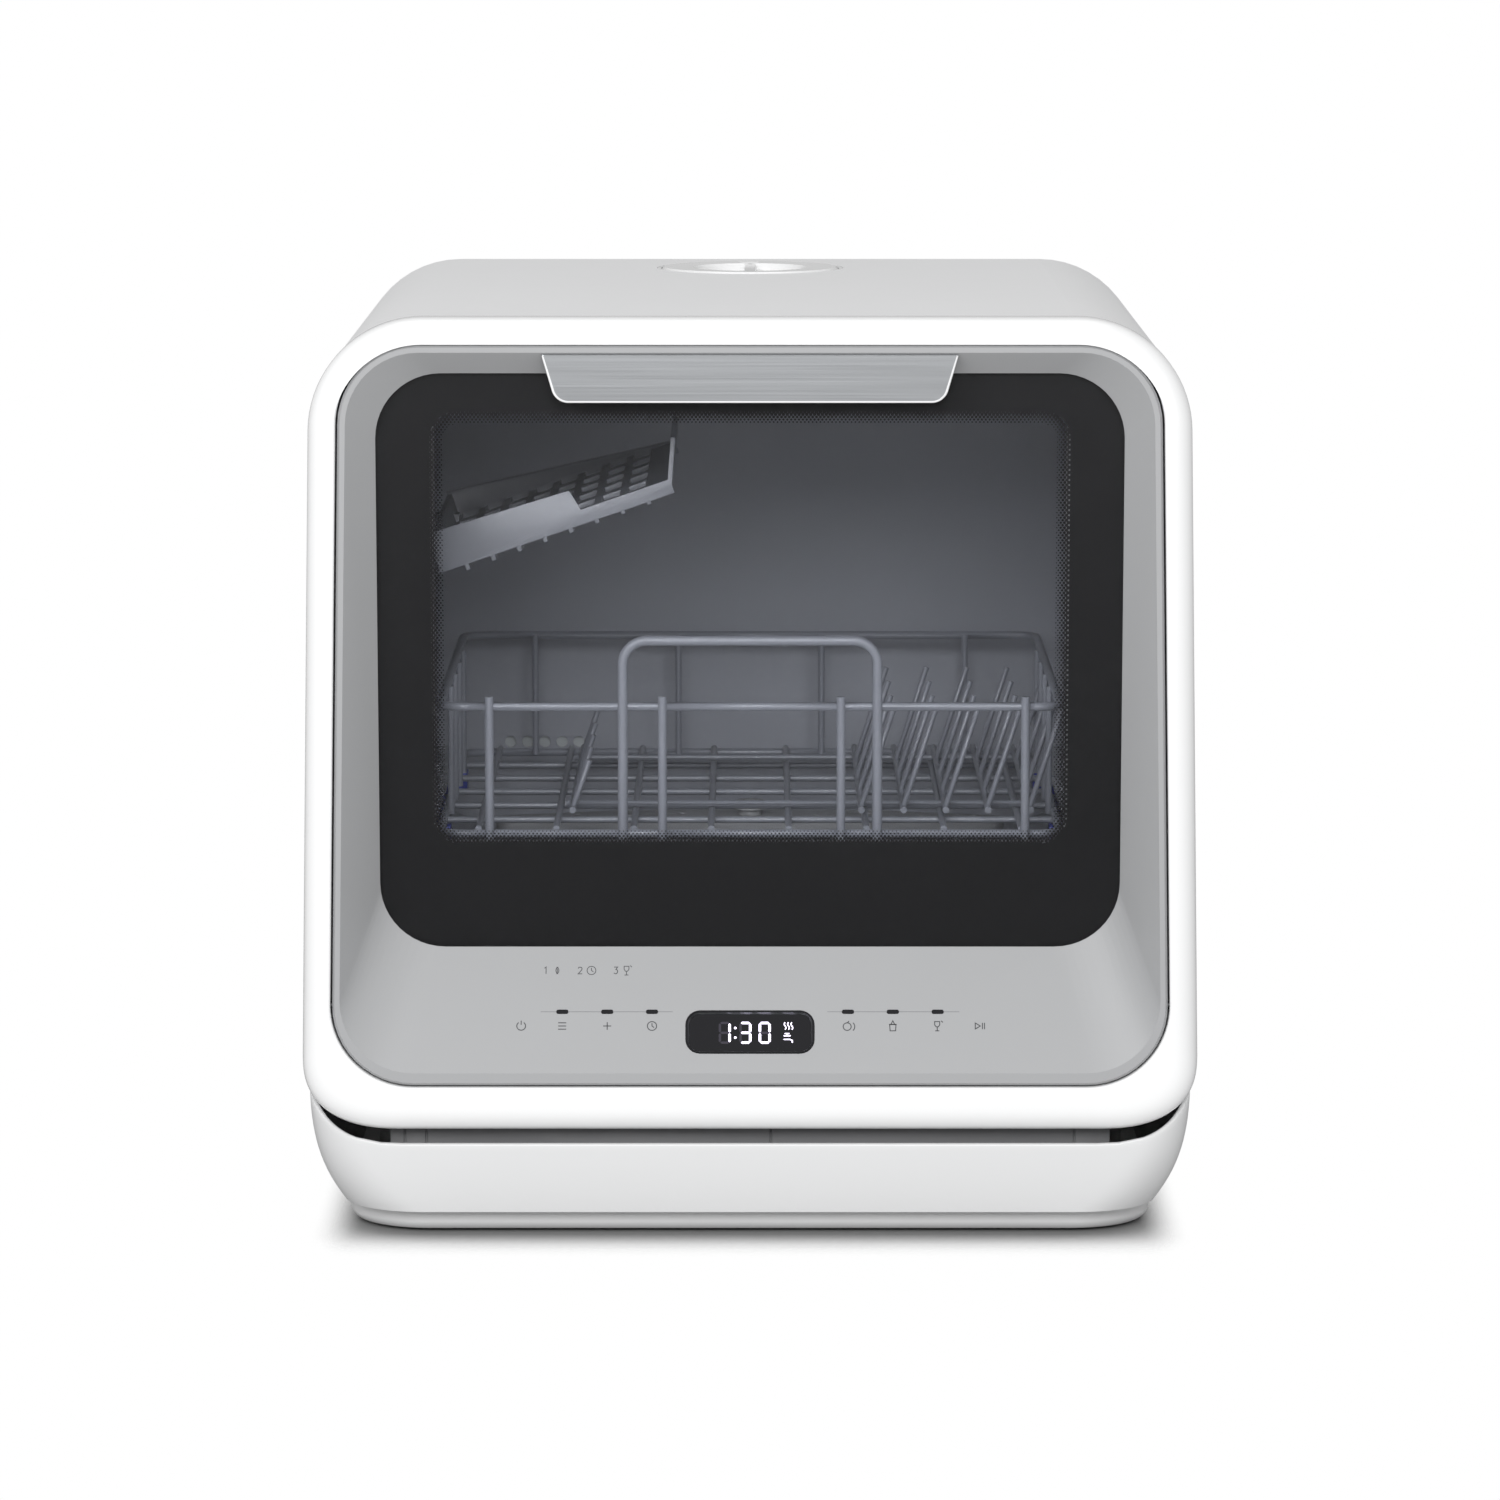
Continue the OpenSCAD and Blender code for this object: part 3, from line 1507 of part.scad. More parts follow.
base_shell();
plinth();
rubber_feet();
front_ring();
casing();
rear_cover();
front_bulkhead();
slot_apron();
tub();
tub_gasket();
basket_rails();
strike();
sump();
filter_plate();
filter_cup();
hub_post();
spray_arm();
heater();
wash_pump();
pump_rotor();
drain_pump();
wash_pipes();
drain_hose();
water_tank();
filler_neck();
filler_cap();
fan_housing();
fan_rotor();
inlet_valve();
drain_spigot();
power_gland();
shelf_pegs();
cup_shelf();
door_frame();
door_glass();
door_liner();
inner_glass();
handle();
display_bezel();
display_lens();
status_lamps();
control_board();
hinge_pins();
latch_tongue();
dispenser();
dispenser_lid();
basket_frame();
plate_tines();
basket_glides();
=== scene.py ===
# %% [markdown]
# # A countertop dishwasher in Blender
# The machine comes packed as a fixed frame of named nodes, each already in its place, in metres.
# This lesson dresses it: some nodes only get a material, others are rebuilt with rounder edges,
# and prints, screws and the display are added on top. Every new piece rides on a body of the
# frame, so the door still swings and the basket still slides.

# %% The frame
import math

import bmesh
import bpy
from mathutils import Matrix, Vector
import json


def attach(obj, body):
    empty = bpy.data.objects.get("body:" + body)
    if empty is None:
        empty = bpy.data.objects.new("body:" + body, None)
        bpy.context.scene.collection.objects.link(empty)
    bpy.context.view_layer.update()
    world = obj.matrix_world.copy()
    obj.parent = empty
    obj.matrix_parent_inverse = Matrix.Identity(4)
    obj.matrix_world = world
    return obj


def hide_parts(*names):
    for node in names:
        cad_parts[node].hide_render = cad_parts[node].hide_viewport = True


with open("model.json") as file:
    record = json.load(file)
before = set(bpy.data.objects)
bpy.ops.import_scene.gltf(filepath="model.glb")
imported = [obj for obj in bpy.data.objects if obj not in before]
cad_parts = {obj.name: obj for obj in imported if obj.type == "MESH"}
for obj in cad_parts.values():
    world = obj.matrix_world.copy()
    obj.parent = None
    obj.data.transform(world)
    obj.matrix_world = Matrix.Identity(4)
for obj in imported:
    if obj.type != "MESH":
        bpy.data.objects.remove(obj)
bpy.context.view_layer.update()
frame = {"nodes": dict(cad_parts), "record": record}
nodes = frame["nodes"]
MM = 0.001

# %% [markdown]
# ## Sizes
# The door's planes lean, so a print or a lamp is easiest to place in the plane's own
# coordinates: x across, z up the plane, y straight through it. These are the machine's own
# sizes in millimetres, and one matrix for each plane turns them into metres in the frame.

# %% Sizes and planes
FRONT, BACK = -220.0, 220.0
RING_BACK = -198.0
DOOR_FRONT = -219.5
SEAM = 0.9
# the ring's lower corners: where they start, how far they reach, and how full they are
CORNER_X, CORNER_Z = 166.8, 88.0
CORNER_ACROSS, CORNER_UP, CORNER_POWER = 46.0, 34.7, 2.4
GLASS_TOP, GLASS_LOW, GLASS_HALF, GLASS_R = 413.5, 138.0, 176.2, 31.0
GLASS_Y_TOP, GLASS_Y_LOW = -206.5, -189.5
PANE_T = 3.2
PANEL_LOW = 82.0
GLASS_LEAN = math.atan2(GLASS_Y_LOW - GLASS_Y_TOP, GLASS_TOP - GLASS_LOW)
GLASS_LEN = math.hypot(GLASS_Y_LOW - GLASS_Y_TOP, GLASS_TOP - GLASS_LOW)
PANEL_LEAN = math.atan2(GLASS_Y_LOW - DOOR_FRONT, GLASS_LOW - PANEL_LOW)

UPRIGHT = Matrix.Scale(MM, 4)
PANE = UPRIGHT @ Matrix.Translation((0, GLASS_Y_TOP, GLASS_TOP)) @ Matrix.Rotation(GLASS_LEAN, 4, "X")
PANEL = UPRIGHT @ Matrix.Translation((0, DOOR_FRONT, PANEL_LOW)) @ Matrix.Rotation(-PANEL_LEAN, 4, "X")
print("pane leans", round(math.degrees(GLASS_LEAN), 2), "panel leans", round(math.degrees(PANEL_LEAN), 2))


# %% Outlines
def rounded(corners, radii, steps=12):
    """A polygon with rounded corners, anticlockwise, as (x, z) pairs."""
    points = []
    for i, corner in enumerate(corners):
        p0, p1 = Vector(corners[i - 1]), Vector(corner)
        p2 = Vector(corners[(i + 1) % len(corners)])
        a, b = (p0 - p1).normalized(), (p2 - p1).normalized()
        half = a.angle(b) / 2
        centre = p1 + (a + b).normalized() * radii[i] / math.sin(half)
        start = p1 + a * radii[i] / math.tan(half) - centre
        end = p1 + b * radii[i] / math.tan(half) - centre
        first = math.atan2(start.y, start.x)
        turn = math.atan2(end.y, end.x) - first
        if turn > math.pi:
            turn -= 2 * math.pi
        if turn < -math.pi:
            turn += 2 * math.pi
        for k in range(steps + 1):
            angle = first + turn * k / steps
            points.append((centre.x + radii[i] * math.cos(angle), centre.y + radii[i] * math.sin(angle)))
    return points


# half widths at the foot and at the top, the low and the top edge, and the corner radius
HOUSING = (213.9, 206.8, 54.0, 440.0, 54.0)
DOOR = (198.6, 192.6, 76.1, 427.8, 38.0)
# steps round each corner, the same for both lines, so that one loft can join them
STEPS = 20


def tapered(sizes, grow):
    """The outline of a shape that narrows upwards, grown on every side."""
    half_low, half_top, low, top, radius = sizes
    half_low, half_top, low, top = half_low + grow, half_top + grow, low - grow, top + grow
    corners = [(-half_low, low), (half_low, low), (half_top, top), (-half_top, top)]
    return rounded(corners, [radius + grow] * 4, STEPS)


def ring_line(grow):
    """The ring's outline: round corners at the top, flatter and fuller ones at the bottom."""
    points = tapered(HOUSING, grow)
    right = []
    for k in range(STEPS + 1):
        angle = math.pi / 2 * k / STEPS
        across = (CORNER_ACROSS + grow) * math.sin(angle) ** (2 / CORNER_POWER)
        up = (CORNER_UP + grow) * math.cos(angle) ** (2 / CORNER_POWER)
        right.append((CORNER_X + across, CORNER_Z - up))
    left = [(-x, z) for x, z in reversed(right)]
    return left + right + points[2 * (STEPS + 1):]


def door_line(grow):
    return tapered(DOOR, grow)


def box_line(x0, x1, z0, z1, radius, steps):
    return rounded([(x0, z0), (x1, z0), (x1, z1), (x0, z1)], [radius] * 4, steps)


def arc(cx, cy, radius, start=0.0, end=360.0, steps=20):
    angles = [math.radians(start + (end - start) * k / steps) for k in range(steps + 1)]
    return [(cx + radius * math.cos(a), cy + radius * math.sin(a)) for a in angles]


def circle(cx, cy, radius, steps=20):
    return arc(cx, cy, radius, steps=steps)[:-1]


print("points round the ring:", len(ring_line(0)), "and round the door:", len(door_line(0)))


# %% Mesh helpers
def finish_mesh(name, mesh, sharp=32):
    """Smooth shading with sharp edges kept, and an object at the origin to hold the mesh."""
    mesh.shade_smooth()
    mesh.set_sharp_from_angle(angle=math.radians(sharp))
    piece = bpy.data.objects.new(name, mesh)
    bpy.context.scene.collection.objects.link(piece)
    return piece


def from_bmesh(name, bm, look=None, plane=UPRIGHT, sharp=32):
    """Turns a bmesh in millimetres into a piece in the frame, with its material if one is named."""
    bm.transform(plane)
    bmesh.ops.recalc_face_normals(bm, faces=bm.faces)
    mesh = bpy.data.meshes.new(name)
    bm.to_mesh(mesh)
    bm.free()
    if look:
        mesh.materials.append(M[look])
    return finish_mesh(name, mesh, sharp)


def add_loft(bm, rings, closed=False):
    """Quads between rings of (x, y, z) points, all with the same count, and a face on open ends."""
    made = [[bm.verts.new(p) for p in ring] for ring in rings]
    pairs = list(zip(made, made[1:])) + ([(made[-1], made[0])] if closed else [])
    for ring_a, ring_b in pairs:
        for i in range(len(ring_a)):
            j = (i + 1) % len(ring_a)
            bm.faces.new((ring_a[i], ring_a[j], ring_b[j], ring_b[i]))
    if not closed:
        bm.faces.new(made[0])
        bm.faces.new(list(reversed(made[-1])))


def at_y(line, y):
    return [(x, y, z) for x, z in line]


def at_z(line, z):
    return [(x, y, z) for x, y in line]


def lofted(name, rings, look, plane=UPRIGHT, sharp=32, closed=False):
    """A piece made of one loft."""
    bm = bmesh.new()
    add_loft(bm, rings, closed)
    return from_bmesh(name, bm, look, plane, sharp)


def apply_modifiers(piece):
    """Turns the modified result into the piece's own plain mesh."""
    result = bpy.data.meshes.new_from_object(piece.evaluated_get(bpy.context.evaluated_depsgraph_get()))
    piece.modifiers.clear()
    old, piece.data = piece.data, result
    result.name = piece.name
    bpy.data.meshes.remove(old)
    return piece


# %% [markdown]
# ## Surface effects
# Moulded plastic is never one flat colour: its tone drifts a little over a wall, its gloss
# changes where the mould was polished, and a fine grain breaks up the highlights. One node
# group makes all three from noise on Object coordinates, so every plastic can share it with
# its own values. Brushed metal needs a second group, where the noise is stretched along the
# brushing.


# %% Node helpers
def socket(tree, name, kind, side, value=None):
    made = tree.interface.new_socket(name=name, in_out=side, socket_type=kind)
    if value is not None:
        made.default_value = value


def link(tree, source, target):
    tree.links.new(source, target)


def feed(tree, node, inputs):
    """Gives a node its inputs by name or number: a socket is linked, anything else is its value."""
    for name, value in inputs.items():
        if isinstance(value, bpy.types.NodeSocket):
            link(tree, value, node.inputs[name])
        else:
            node.inputs[name].default_value = value
    return node


def new_node(tree, kind, inputs):
    return feed(tree, tree.nodes.new(kind), inputs)


def math_node(tree, operation, *values):
    """One step of arithmetic on numbers or sockets, in a shader or a geometry tree."""
    node = tree.nodes.new("ShaderNodeMath")
    node.operation = operation
    return feed(tree, node, dict(enumerate(values))).outputs[0]


def distance_of(tree, a, b):
    """How far a point is that lies a across and b along."""
    squares = [math_node(tree, "POWER", side, 2.0) for side in (a, b)]
    return math_node(tree, "SQRT", math_node(tree, "ADD", *squares))


def remap(tree, value, low, high, start=0.0, end=1.0, kind="LINEAR"):
    """Goes from low to high while the value goes from start to end."""
    node = tree.nodes.new("ShaderNodeMapRange")
    node.interpolation_type = kind
    feed(tree, node, {"Value": value, "From Min": start, "From Max": end, "To Min": low, "To Max": high})
    return node.outputs["Result"]


# %% Node groups
def noise(tree, vector, scale, detail):
    inputs = {"Vector": vector, "Scale": scale, "Detail": detail}
    return new_node(tree, "ShaderNodeTexNoise", inputs).outputs["Fac"]


def shade(tree, colour, amount, value):
    """The colour made darker or lighter by amount times (value - 0.5)."""
    centred = math_node(tree, "SUBTRACT", value, 0.5)
    factor = math_node(tree, "MULTIPLY_ADD", centred, amount, 1.0)
    tint = tree.nodes.new("ShaderNodeVectorMath")
    tint.operation = "SCALE"
    return feed(tree, tint, {0: colour, "Scale": factor}).outputs[0]


def surface_group(name, pattern, kind, value):
    """A group with the inputs and outputs that both kinds of surface share, and one for its pattern."""
    tree = bpy.data.node_groups.new(name, "ShaderNodeTree")
    socket(tree, "Color", "NodeSocketColor", "INPUT", (0.5, 0.5, 0.5, 1))
    socket(tree, pattern, kind, "INPUT", value)
    for label, number in (("Tone Drift", 0.06), ("Roughness Low", 0.3), ("Roughness High", 0.4)):
        socket(tree, label, "NodeSocketFloat", "INPUT", number)
    socket(tree, "Color", "NodeSocketColor", "OUTPUT")
    for label in ("Roughness", "Height"):
        socket(tree, label, "NodeSocketFloat", "OUTPUT")
    given = tree.nodes.new("NodeGroupInput").outputs
    place = tree.nodes.new("ShaderNodeTexCoord").outputs["Object"]
    return tree, given, place


def give_result(tree, given, tone, gloss, height):
    """Turns three noises into the group's colour, roughness and height."""
    colour = shade(tree, given["Color"], given["Tone Drift"], tone)
    rough = remap(tree, gloss, given["Roughness Low"], given["Roughness High"])
    new_node(tree, "NodeGroupOutput", {"Color": colour, "Roughness": rough, "Height": height})
    return tree


def moulded_group():
    tree, given, place = surface_group("moulded surface", "Grain Scale", "NodeSocketFloat", 1500.0)
    slow = noise(tree, place, 7.0, 3.0)
    wipe = noise(tree, place, 38.0, 4.0)
    grain = noise(tree, place, given["Grain Scale"], 1.0)
    return give_result(tree, given, slow, wipe, grain)


def brushed_group():
    long_lines = (12.0, 1600.0, 1600.0)
    tree, given, place = surface_group("brushed surface", "Line Scale", "NodeSocketVector", long_lines)
    stretch = tree.nodes.new("ShaderNodeVectorMath")
    stretch.operation = "MULTIPLY"
    feed(tree, stretch, {0: place, 1: given["Line Scale"]})
    lines = noise(tree, stretch.outputs[0], 1.0, 3.0)
    return give_result(tree, given, lines, lines, lines)


MOULDED = moulded_group()
BRUSHED = brushed_group()
print("groups:", MOULDED.name, "and", BRUSHED.name)


# %% Material builder
def new_material(name):
    material = bpy.data.materials.new(name)
    material.use_nodes = True
    tree = material.node_tree
    return material, tree, tree.nodes["Principled BSDF"]


M = {}


def surface(name, group, colour, rough, drift, depth, more, fixed):
    """A Principled material whose colour, roughness and bump come from a shared group."""
    M[name], tree, shader = new_material(name)
    effect = tree.nodes.new("ShaderNodeGroup")
    effect.node_tree = group
    feed(tree, effect, {"Color": (*colour, 1), "Tone Drift": drift, **more})
    feed(tree, effect, {"Roughness Low": rough[0], "Roughness High": rough[1]})
    relief = {"Strength": 0.6, "Distance": depth * MM, "Height": effect.outputs["Height"]}
    bump = new_node(tree, "ShaderNodeBump", relief)
    feed(tree, shader, {"Base Color": effect.outputs["Color"], "Roughness": effect.outputs["Roughness"]})
    feed(tree, shader, {"Normal": bump.outputs["Normal"], **fixed})


def moulded(name, colour, rough, drift, depth, grain, fixed=None):
    """A plastic, paint, rubber or print: its gloss span, tone drift, grain depth in mm and grain scale."""
    surface(name, MOULDED, colour, rough, drift, depth, {"Grain Scale": grain}, fixed or {})


def brushed(name, colour, rough, drift, depth, lines, metallic=1.0):
    """A metal whose brushing runs along the axis with the smallest of the three scales."""
    surface(name, BRUSHED, colour, rough, drift, depth, {"Line Scale": lines}, {"Metallic": metallic})


# %% [markdown]
# ## Plastics, metals and rubber
# The housing is white: a glossier ring in front, satin painted sheet behind it and a satin
# base. The door is painted a light silver grey. Inside, the tub is a dark blue-grey, and the
# basket wire is dipped in nylon of nearly the same hue, only lighter.

# %% Plastics, paint and rubber
GLOSS_COAT = {"Coat Weight": 0.25, "Coat Roughness": 0.12}
moulded("white_gloss", (0.80, 0.802, 0.805), (0.20, 0.28), 0.015, 0.006, 900.0, GLOSS_COAT)
moulded("white_painted", (0.80, 0.803, 0.81), (0.34, 0.42), 0.02, 0.012, 1800.0)
moulded("white_plastic", (0.64, 0.643, 0.647), (0.30, 0.38), 0.02, 0.010, 1500.0)
moulded("white_foot", (0.65, 0.652, 0.655), (0.26, 0.34), 0.015, 0.008, 1500.0)
moulded("silver_plastic", (0.340, 0.344, 0.351), (0.34, 0.42), 0.02, 0.012, 2200.0)
moulded("apron_plastic", (0.15, 0.152, 0.158), (0.42, 0.55), 0.06, 0.02, 1300.0)
moulded("tub_plastic", (0.31, 0.322, 0.36), (0.34, 0.46), 0.10, 0.02, 1200.0)
moulded("shelf_plastic", (0.215, 0.223, 0.25), (0.34, 0.44), 0.06, 0.015, 1500.0)
moulded("grey_plastic", (0.34, 0.345, 0.355), (0.36, 0.48), 0.06, 0.02, 1300.0)
moulded("dark_plastic", (0.055, 0.057, 0.062), (0.42, 0.55), 0.12, 0.02, 1300.0)
moulded("black_plastic", (0.018, 0.018, 0.019), (0.42, 0.55), 0.15, 0.02, 1300.0)
moulded("black_gloss", (0.007, 0.007, 0.009), (0.05, 0.09), 0.10, 0.002, 500.0)
moulded("rubber", (0.022, 0.022, 0.023), (0.62, 0.78), 0.20, 0.03, 900.0)
moulded("blue_plastic", (0.02, 0.035, 0.30), (0.32, 0.42), 0.06, 0.015, 1500.0)
moulded("coated_wire", (0.25, 0.262, 0.30), (0.28, 0.40), 0.10, 0.03, 450.0)
moulded("board", (0.02, 0.13, 0.06), (0.30, 0.42), 0.10, 0.02, 1300.0)

# %% Metals
ALONG_THE_HANDLE = (9.0, 1500.0, 1500.0)
brushed("steel", (0.55, 0.555, 0.57), (0.22, 0.36), 0.12, 0.01, (25.0, 25.0, 900.0))
brushed("brushed_metal", (0.44, 0.452, 0.468), (0.26, 0.38), 0.10, 0.006, ALONG_THE_HANDLE)
# the chamfer's nearly white, barely metallic colour is a painted highlight on a real polished edge
brushed("polished_edge_painted_highlight", (0.90, 0.905, 0.91), (0.18, 0.26), 0.03, 0.002, ALONG_THE_HANDLE, 0.15)
brushed("black_steel", (0.06, 0.06, 0.062), (0.38, 0.50), 0.12, 0.01, (900.0, 25.0, 25.0))
print("opaque materials:", len(M))


# %% [markdown]
# ## Glass and see-through plastic
# A pane of real glass would leave the tub black, because a path tracer rarely finds a lamp
# through bent light. So lamp rays pass straight through a tinted Transparent shader, while the
# eye still sees a Principled glass with its reflections.


# %% Clear materials
def mixed_output(tree, factor, first, second):
    """Sends two shaders to the material's output, the second as far as the factor says."""
    both = {"Fac": factor, 1: first.outputs["BSDF"], 2: second.outputs["BSDF"]}
    mix = new_node(tree, "ShaderNodeMixShader", both)
    link(tree, mix.outputs["Shader"], tree.nodes["Material Output"].inputs["Surface"])


def clear_material(name, tint, lamp_tint):
    M[name], tree, shader = new_material(name)
    clear = {"Roughness": 0.0, "IOR": 1.45, "Transmission Weight": 1.0}
    feed(tree, shader, {"Base Color": (*tint, 1), **clear})
    through = new_node(tree, "ShaderNodeBsdfTransparent", {"Color": (*lamp_tint, 1)})
    path = tree.nodes.new("ShaderNodeLightPath").outputs
    lamp = math_node(tree, "MAXIMUM", path["Is Shadow Ray"], path["Is Diffuse Ray"])
    mixed_output(tree, lamp, shader, through)


clear_material("tinted_glass", (0.90, 0.905, 0.92), (0.96, 0.96, 0.97))
clear_material("clear_glass", (0.97, 0.975, 0.975), (0.97, 0.975, 0.975))
moulded("clear_plastic", (0.62, 0.65, 0.66), (0.30, 0.42), 0.04, 0.01, 1500.0, {"Alpha": 0.75})
print("materials with the clear ones:", len(M))


# %% Printed and lit materials
DULL_INK = {"Specular IOR Level": 0.15}
moulded("ceramic_print", (0.007, 0.007, 0.0075), (0.45, 0.55), 0.10, 0.004, 1500.0, DULL_INK)
moulded("panel_print", (0.045, 0.046, 0.05), (0.45, 0.55), 0.10, 0.004, 1500.0)
moulded("hairline_print", (0.17, 0.173, 0.18), (0.45, 0.55), 0.10, 0.004, 1500.0)
moulded("digit_unlit", (0.030, 0.026, 0.040), (0.20, 0.30), 0.10, 0.002, 900.0)
M["digit_lit"], tree, shader = new_material("digit_lit")
GLOW = (0.86, 0.80, 1.0, 1)
feed(tree, shader, {"Base Color": GLOW, "Roughness": 0.4})
feed(tree, shader, {"Emission Color": GLOW, "Emission Strength": 1.6})
print("materials in all:", len(M))

# %% [markdown]
# ## Every node gets its finish
# A node's mesh comes as loose triangles. Where it shows, a merged copy replaces it: with its
# doubles merged and its flat faces joined, it can be smoothed across curves and bevelled on
# its edges, which catches the thin highlights that tell moulded plastic from a drawing.

# %% Slots and bodies
SLOTS = {part["node"]: part["material_slot"] for part in frame["record"]["subparts"]}
BODY = {n: body for body, members in frame["record"]["behaviour"]["bodies"].items() for n in members}
for name, node in nodes.items():
    node.data.materials.clear()
    node.data.materials.append(M[SLOTS[name]])
    for polygon in node.data.polygons:
        polygon.material_index = 0
nodes["hinge_pins"].data.materials[0] = M["black_steel"]
print("dressed nodes:", len(SLOTS))


# %% Merged copies
def merged_copy(name, bevel, material=None):
    """A welded copy of a node, bevelled on its sharp edges, that replaces the node."""
    bm = bmesh.new()
    bm.from_mesh(nodes[name].data)
    bmesh.ops.remove_doubles(bm, verts=bm.verts, dist=2e-6)
    bmesh.ops.dissolve_limit(
        bm, angle_limit=math.radians(0.4), use_dissolve_boundaries=False, verts=bm.verts, edges=bm.edges
    )
    mesh = bpy.data.meshes.new(name + "_skin")
    bm.to_mesh(mesh)
    bm.free()
    piece = finish_mesh(name + "_skin", mesh)
    mesh.materials.clear()
    mesh.materials.append(material or M[SLOTS[name]])
    if bevel:
        rounding = piece.modifiers.new("edge rounding", "BEVEL")
        rounding.width = bevel * MM
        rounding.segments = 2
        rounding.limit_method = "ANGLE"
        rounding.angle_limit = math.radians(40)
        apply_modifiers(piece)
        piece.data.set_sharp_from_angle(angle=math.radians(46))
    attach(piece, BODY[name])
    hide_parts(name)
    return piece


COPIES = {
    "casing": 0.0, "rear_cover": 0.0, "front_bulkhead": 0.0,
    "tub": 0.0, "tub_gasket": 0.4, "cup_shelf": 0.35, "door_frame": 0.0, "door_liner": 0.0,
    "basket_frame": 0.0, "plate_tines": 0.0, "basket_glides": 0.5, "filler_cap": 0.0,
    "filler_neck": 0.0, "spray_arm": 0.3, "hub_post": 0.0, "filter_cup": 0.0, "heater": 0.0,
    "basket_rails": 0.2, "dispenser": 0.3, "dispenser_lid": 0.2, "rubber_feet": 0.0,
    "inlet_valve": 0.0, "drain_spigot": 0.0, "power_gland": 0.0, "shelf_pegs": 0.3,
}
for name, bevel in COPIES.items():
    skin = merged_copy(name, bevel)
    print(name, len(skin.data.polygons), "faces")
merged_copy("slot_apron", 0.3, M["apron_plastic"])

# %% [markdown]
# ## The front ring
# The ring is one loft: the same rounded outline, shrunk and moved step by step. It goes from
# the step behind, over a quarter-round edge, across the flat front, round the softened inner
# edge and back along the inside wall. All quads, so the gloss runs smoothly round each corner.


# %% Front ring
OUTER_R, INNER_R = 12.0, 1.4


def ring_sections():
    sections = [at_y(ring_line(-0.7), RING_BACK), at_y(ring_line(-0.2), RING_BACK - 0.2)]
    sections.append(at_y(ring_line(0), RING_BACK - 1.0))
    for angle in [math.radians(9 * k) for k in range(11)]:
        shrunk = ring_line(-OUTER_R * (1 - math.cos(angle)))
        sections.append(at_y(shrunk, FRONT + OUTER_R * (1 - math.sin(angle))))
    for angle in [math.radians(22.5 * k) for k in range(5)]:
        inner = door_line(SEAM + INNER_R * (1 - math.sin(angle)))
        sections.append(at_y(inner, FRONT + INNER_R * (1 - math.cos(angle))))
    sections.append(at_y(door_line(SEAM), RING_BACK))
    return sections


ring = lofted("front_ring_skin", ring_sections(), "white_gloss", sharp=40, closed=True)
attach(ring, "housing")
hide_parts("front_ring")
print("ring faces:", len(ring.data.polygons))

# %% [markdown]
# ## The base and its foot ring
# The base is boat-shaped: its sides draw in faster and faster towards the floor, while its
# front corners, seen from above, grow rounder. Its rim follows the ring at a slot's distance
# and then the casing, so the wall is a loft whose every column ends at its own height. A small
# fillet on the rim catches the light, and a boolean cuts the air inlets in the floor.

# %% Base form
BASE_LOW, BASE_TOP, BASE_WALL, RIM = 12.0, 82.0, 2.6, 1.2
FLOOR_IN = BASE_LOW + BASE_WALL
# for each form its size at the rim, its change down to the floor, and how late that comes
BASE_HALF, HALF_DRAW, HALF_POWER = 210.3, 15.0, 3.0
INSET, INSET_DRAW, INSET_POWER = 7.5, 7.0, 2.6
PLAN_R, PLAN_DRAW, PLAN_POWER = 13.0, 26.0, 1.5
REAR_R, REAR_LEAN = 12.0, 0.25
# the rim leaves a slot under the ring and follows an arc beside the casing
SLOT, ARC_X, ARC_Z, ARC_R = 6.9, 159.3, 108.3, 54.0


def plan_line(z, inwards=0.0, steps=12, cuts=36):
    """The base seen from above at height z, as (x, y) pairs, always with the same count."""
    low = max(0.0, BASE_TOP - z) / (BASE_TOP - BASE_LOW)
    half = BASE_HALF - HALF_DRAW * low ** HALF_POWER - inwards
    inset = INSET + INSET_DRAW * low ** INSET_POWER
    front, back = FRONT + inset + inwards, BACK - inset * REAR_LEAN - inwards
    radius, rear = PLAN_R + PLAN_DRAW * low ** PLAN_POWER - inwards, REAR_R - inwards
    corners = [(-half, front), (half, front), (half, back), (-half, back)]
    arcs = rounded(corners, [radius, radius, rear, rear], steps)
    points = []
    for i, point in enumerate(arcs):
        points.append(point)
        if i % (steps + 1) == steps:
            after = arcs[(i + 1) % len(arcs)]
            points += [tuple(Vector(point).lerp(Vector(after), k / cuts)) for k in range(1, cuts)]
    return points


def rim_height(x, y):
    """The base's rim under the ring, beside the casing and under the rear cover."""
    across = abs(x)
    if y < RING_BACK:
        past = min(1.0, max(0.0, across - CORNER_X) / CORNER_ACROSS)
        edge = CORNER_Z - CORNER_UP * (1 - past ** CORNER_POWER) ** (1 / CORNER_POWER)
        edge -= SLOT * (1 - 0.5 * past ** 2)
    else:
        past = min(ARC_R, max(0.0, across - ARC_X))
        edge = ARC_Z - math.sqrt(ARC_R ** 2 - past ** 2)
    return min(BASE_TOP, edge)


def rim_line(count, start=50.0, passes=12):
    """The rim's height in each column, where the leaning wall and the rim's own line agree."""
    heights = []
    for i in range(count):
        z = start
        for _ in range(passes):
            z = rim_height(*plan_line(z)[i])
        heights.append(z)
    return heights


RIM_LINE = rim_line(len(plan_line(BASE_LOW)))


def wall_row(height_of, inwards):
    """One ring of the loft, with each column at its own height and the wall drawn inwards."""
    row = []
    lines = {}
    for i, edge in enumerate(RIM_LINE):
        z = height_of(edge)
        key = round(z, 3)
        if key not in lines:
            lines[key] = plan_line(z, inwards)
        row.append((*lines[key][i], z))
    return row


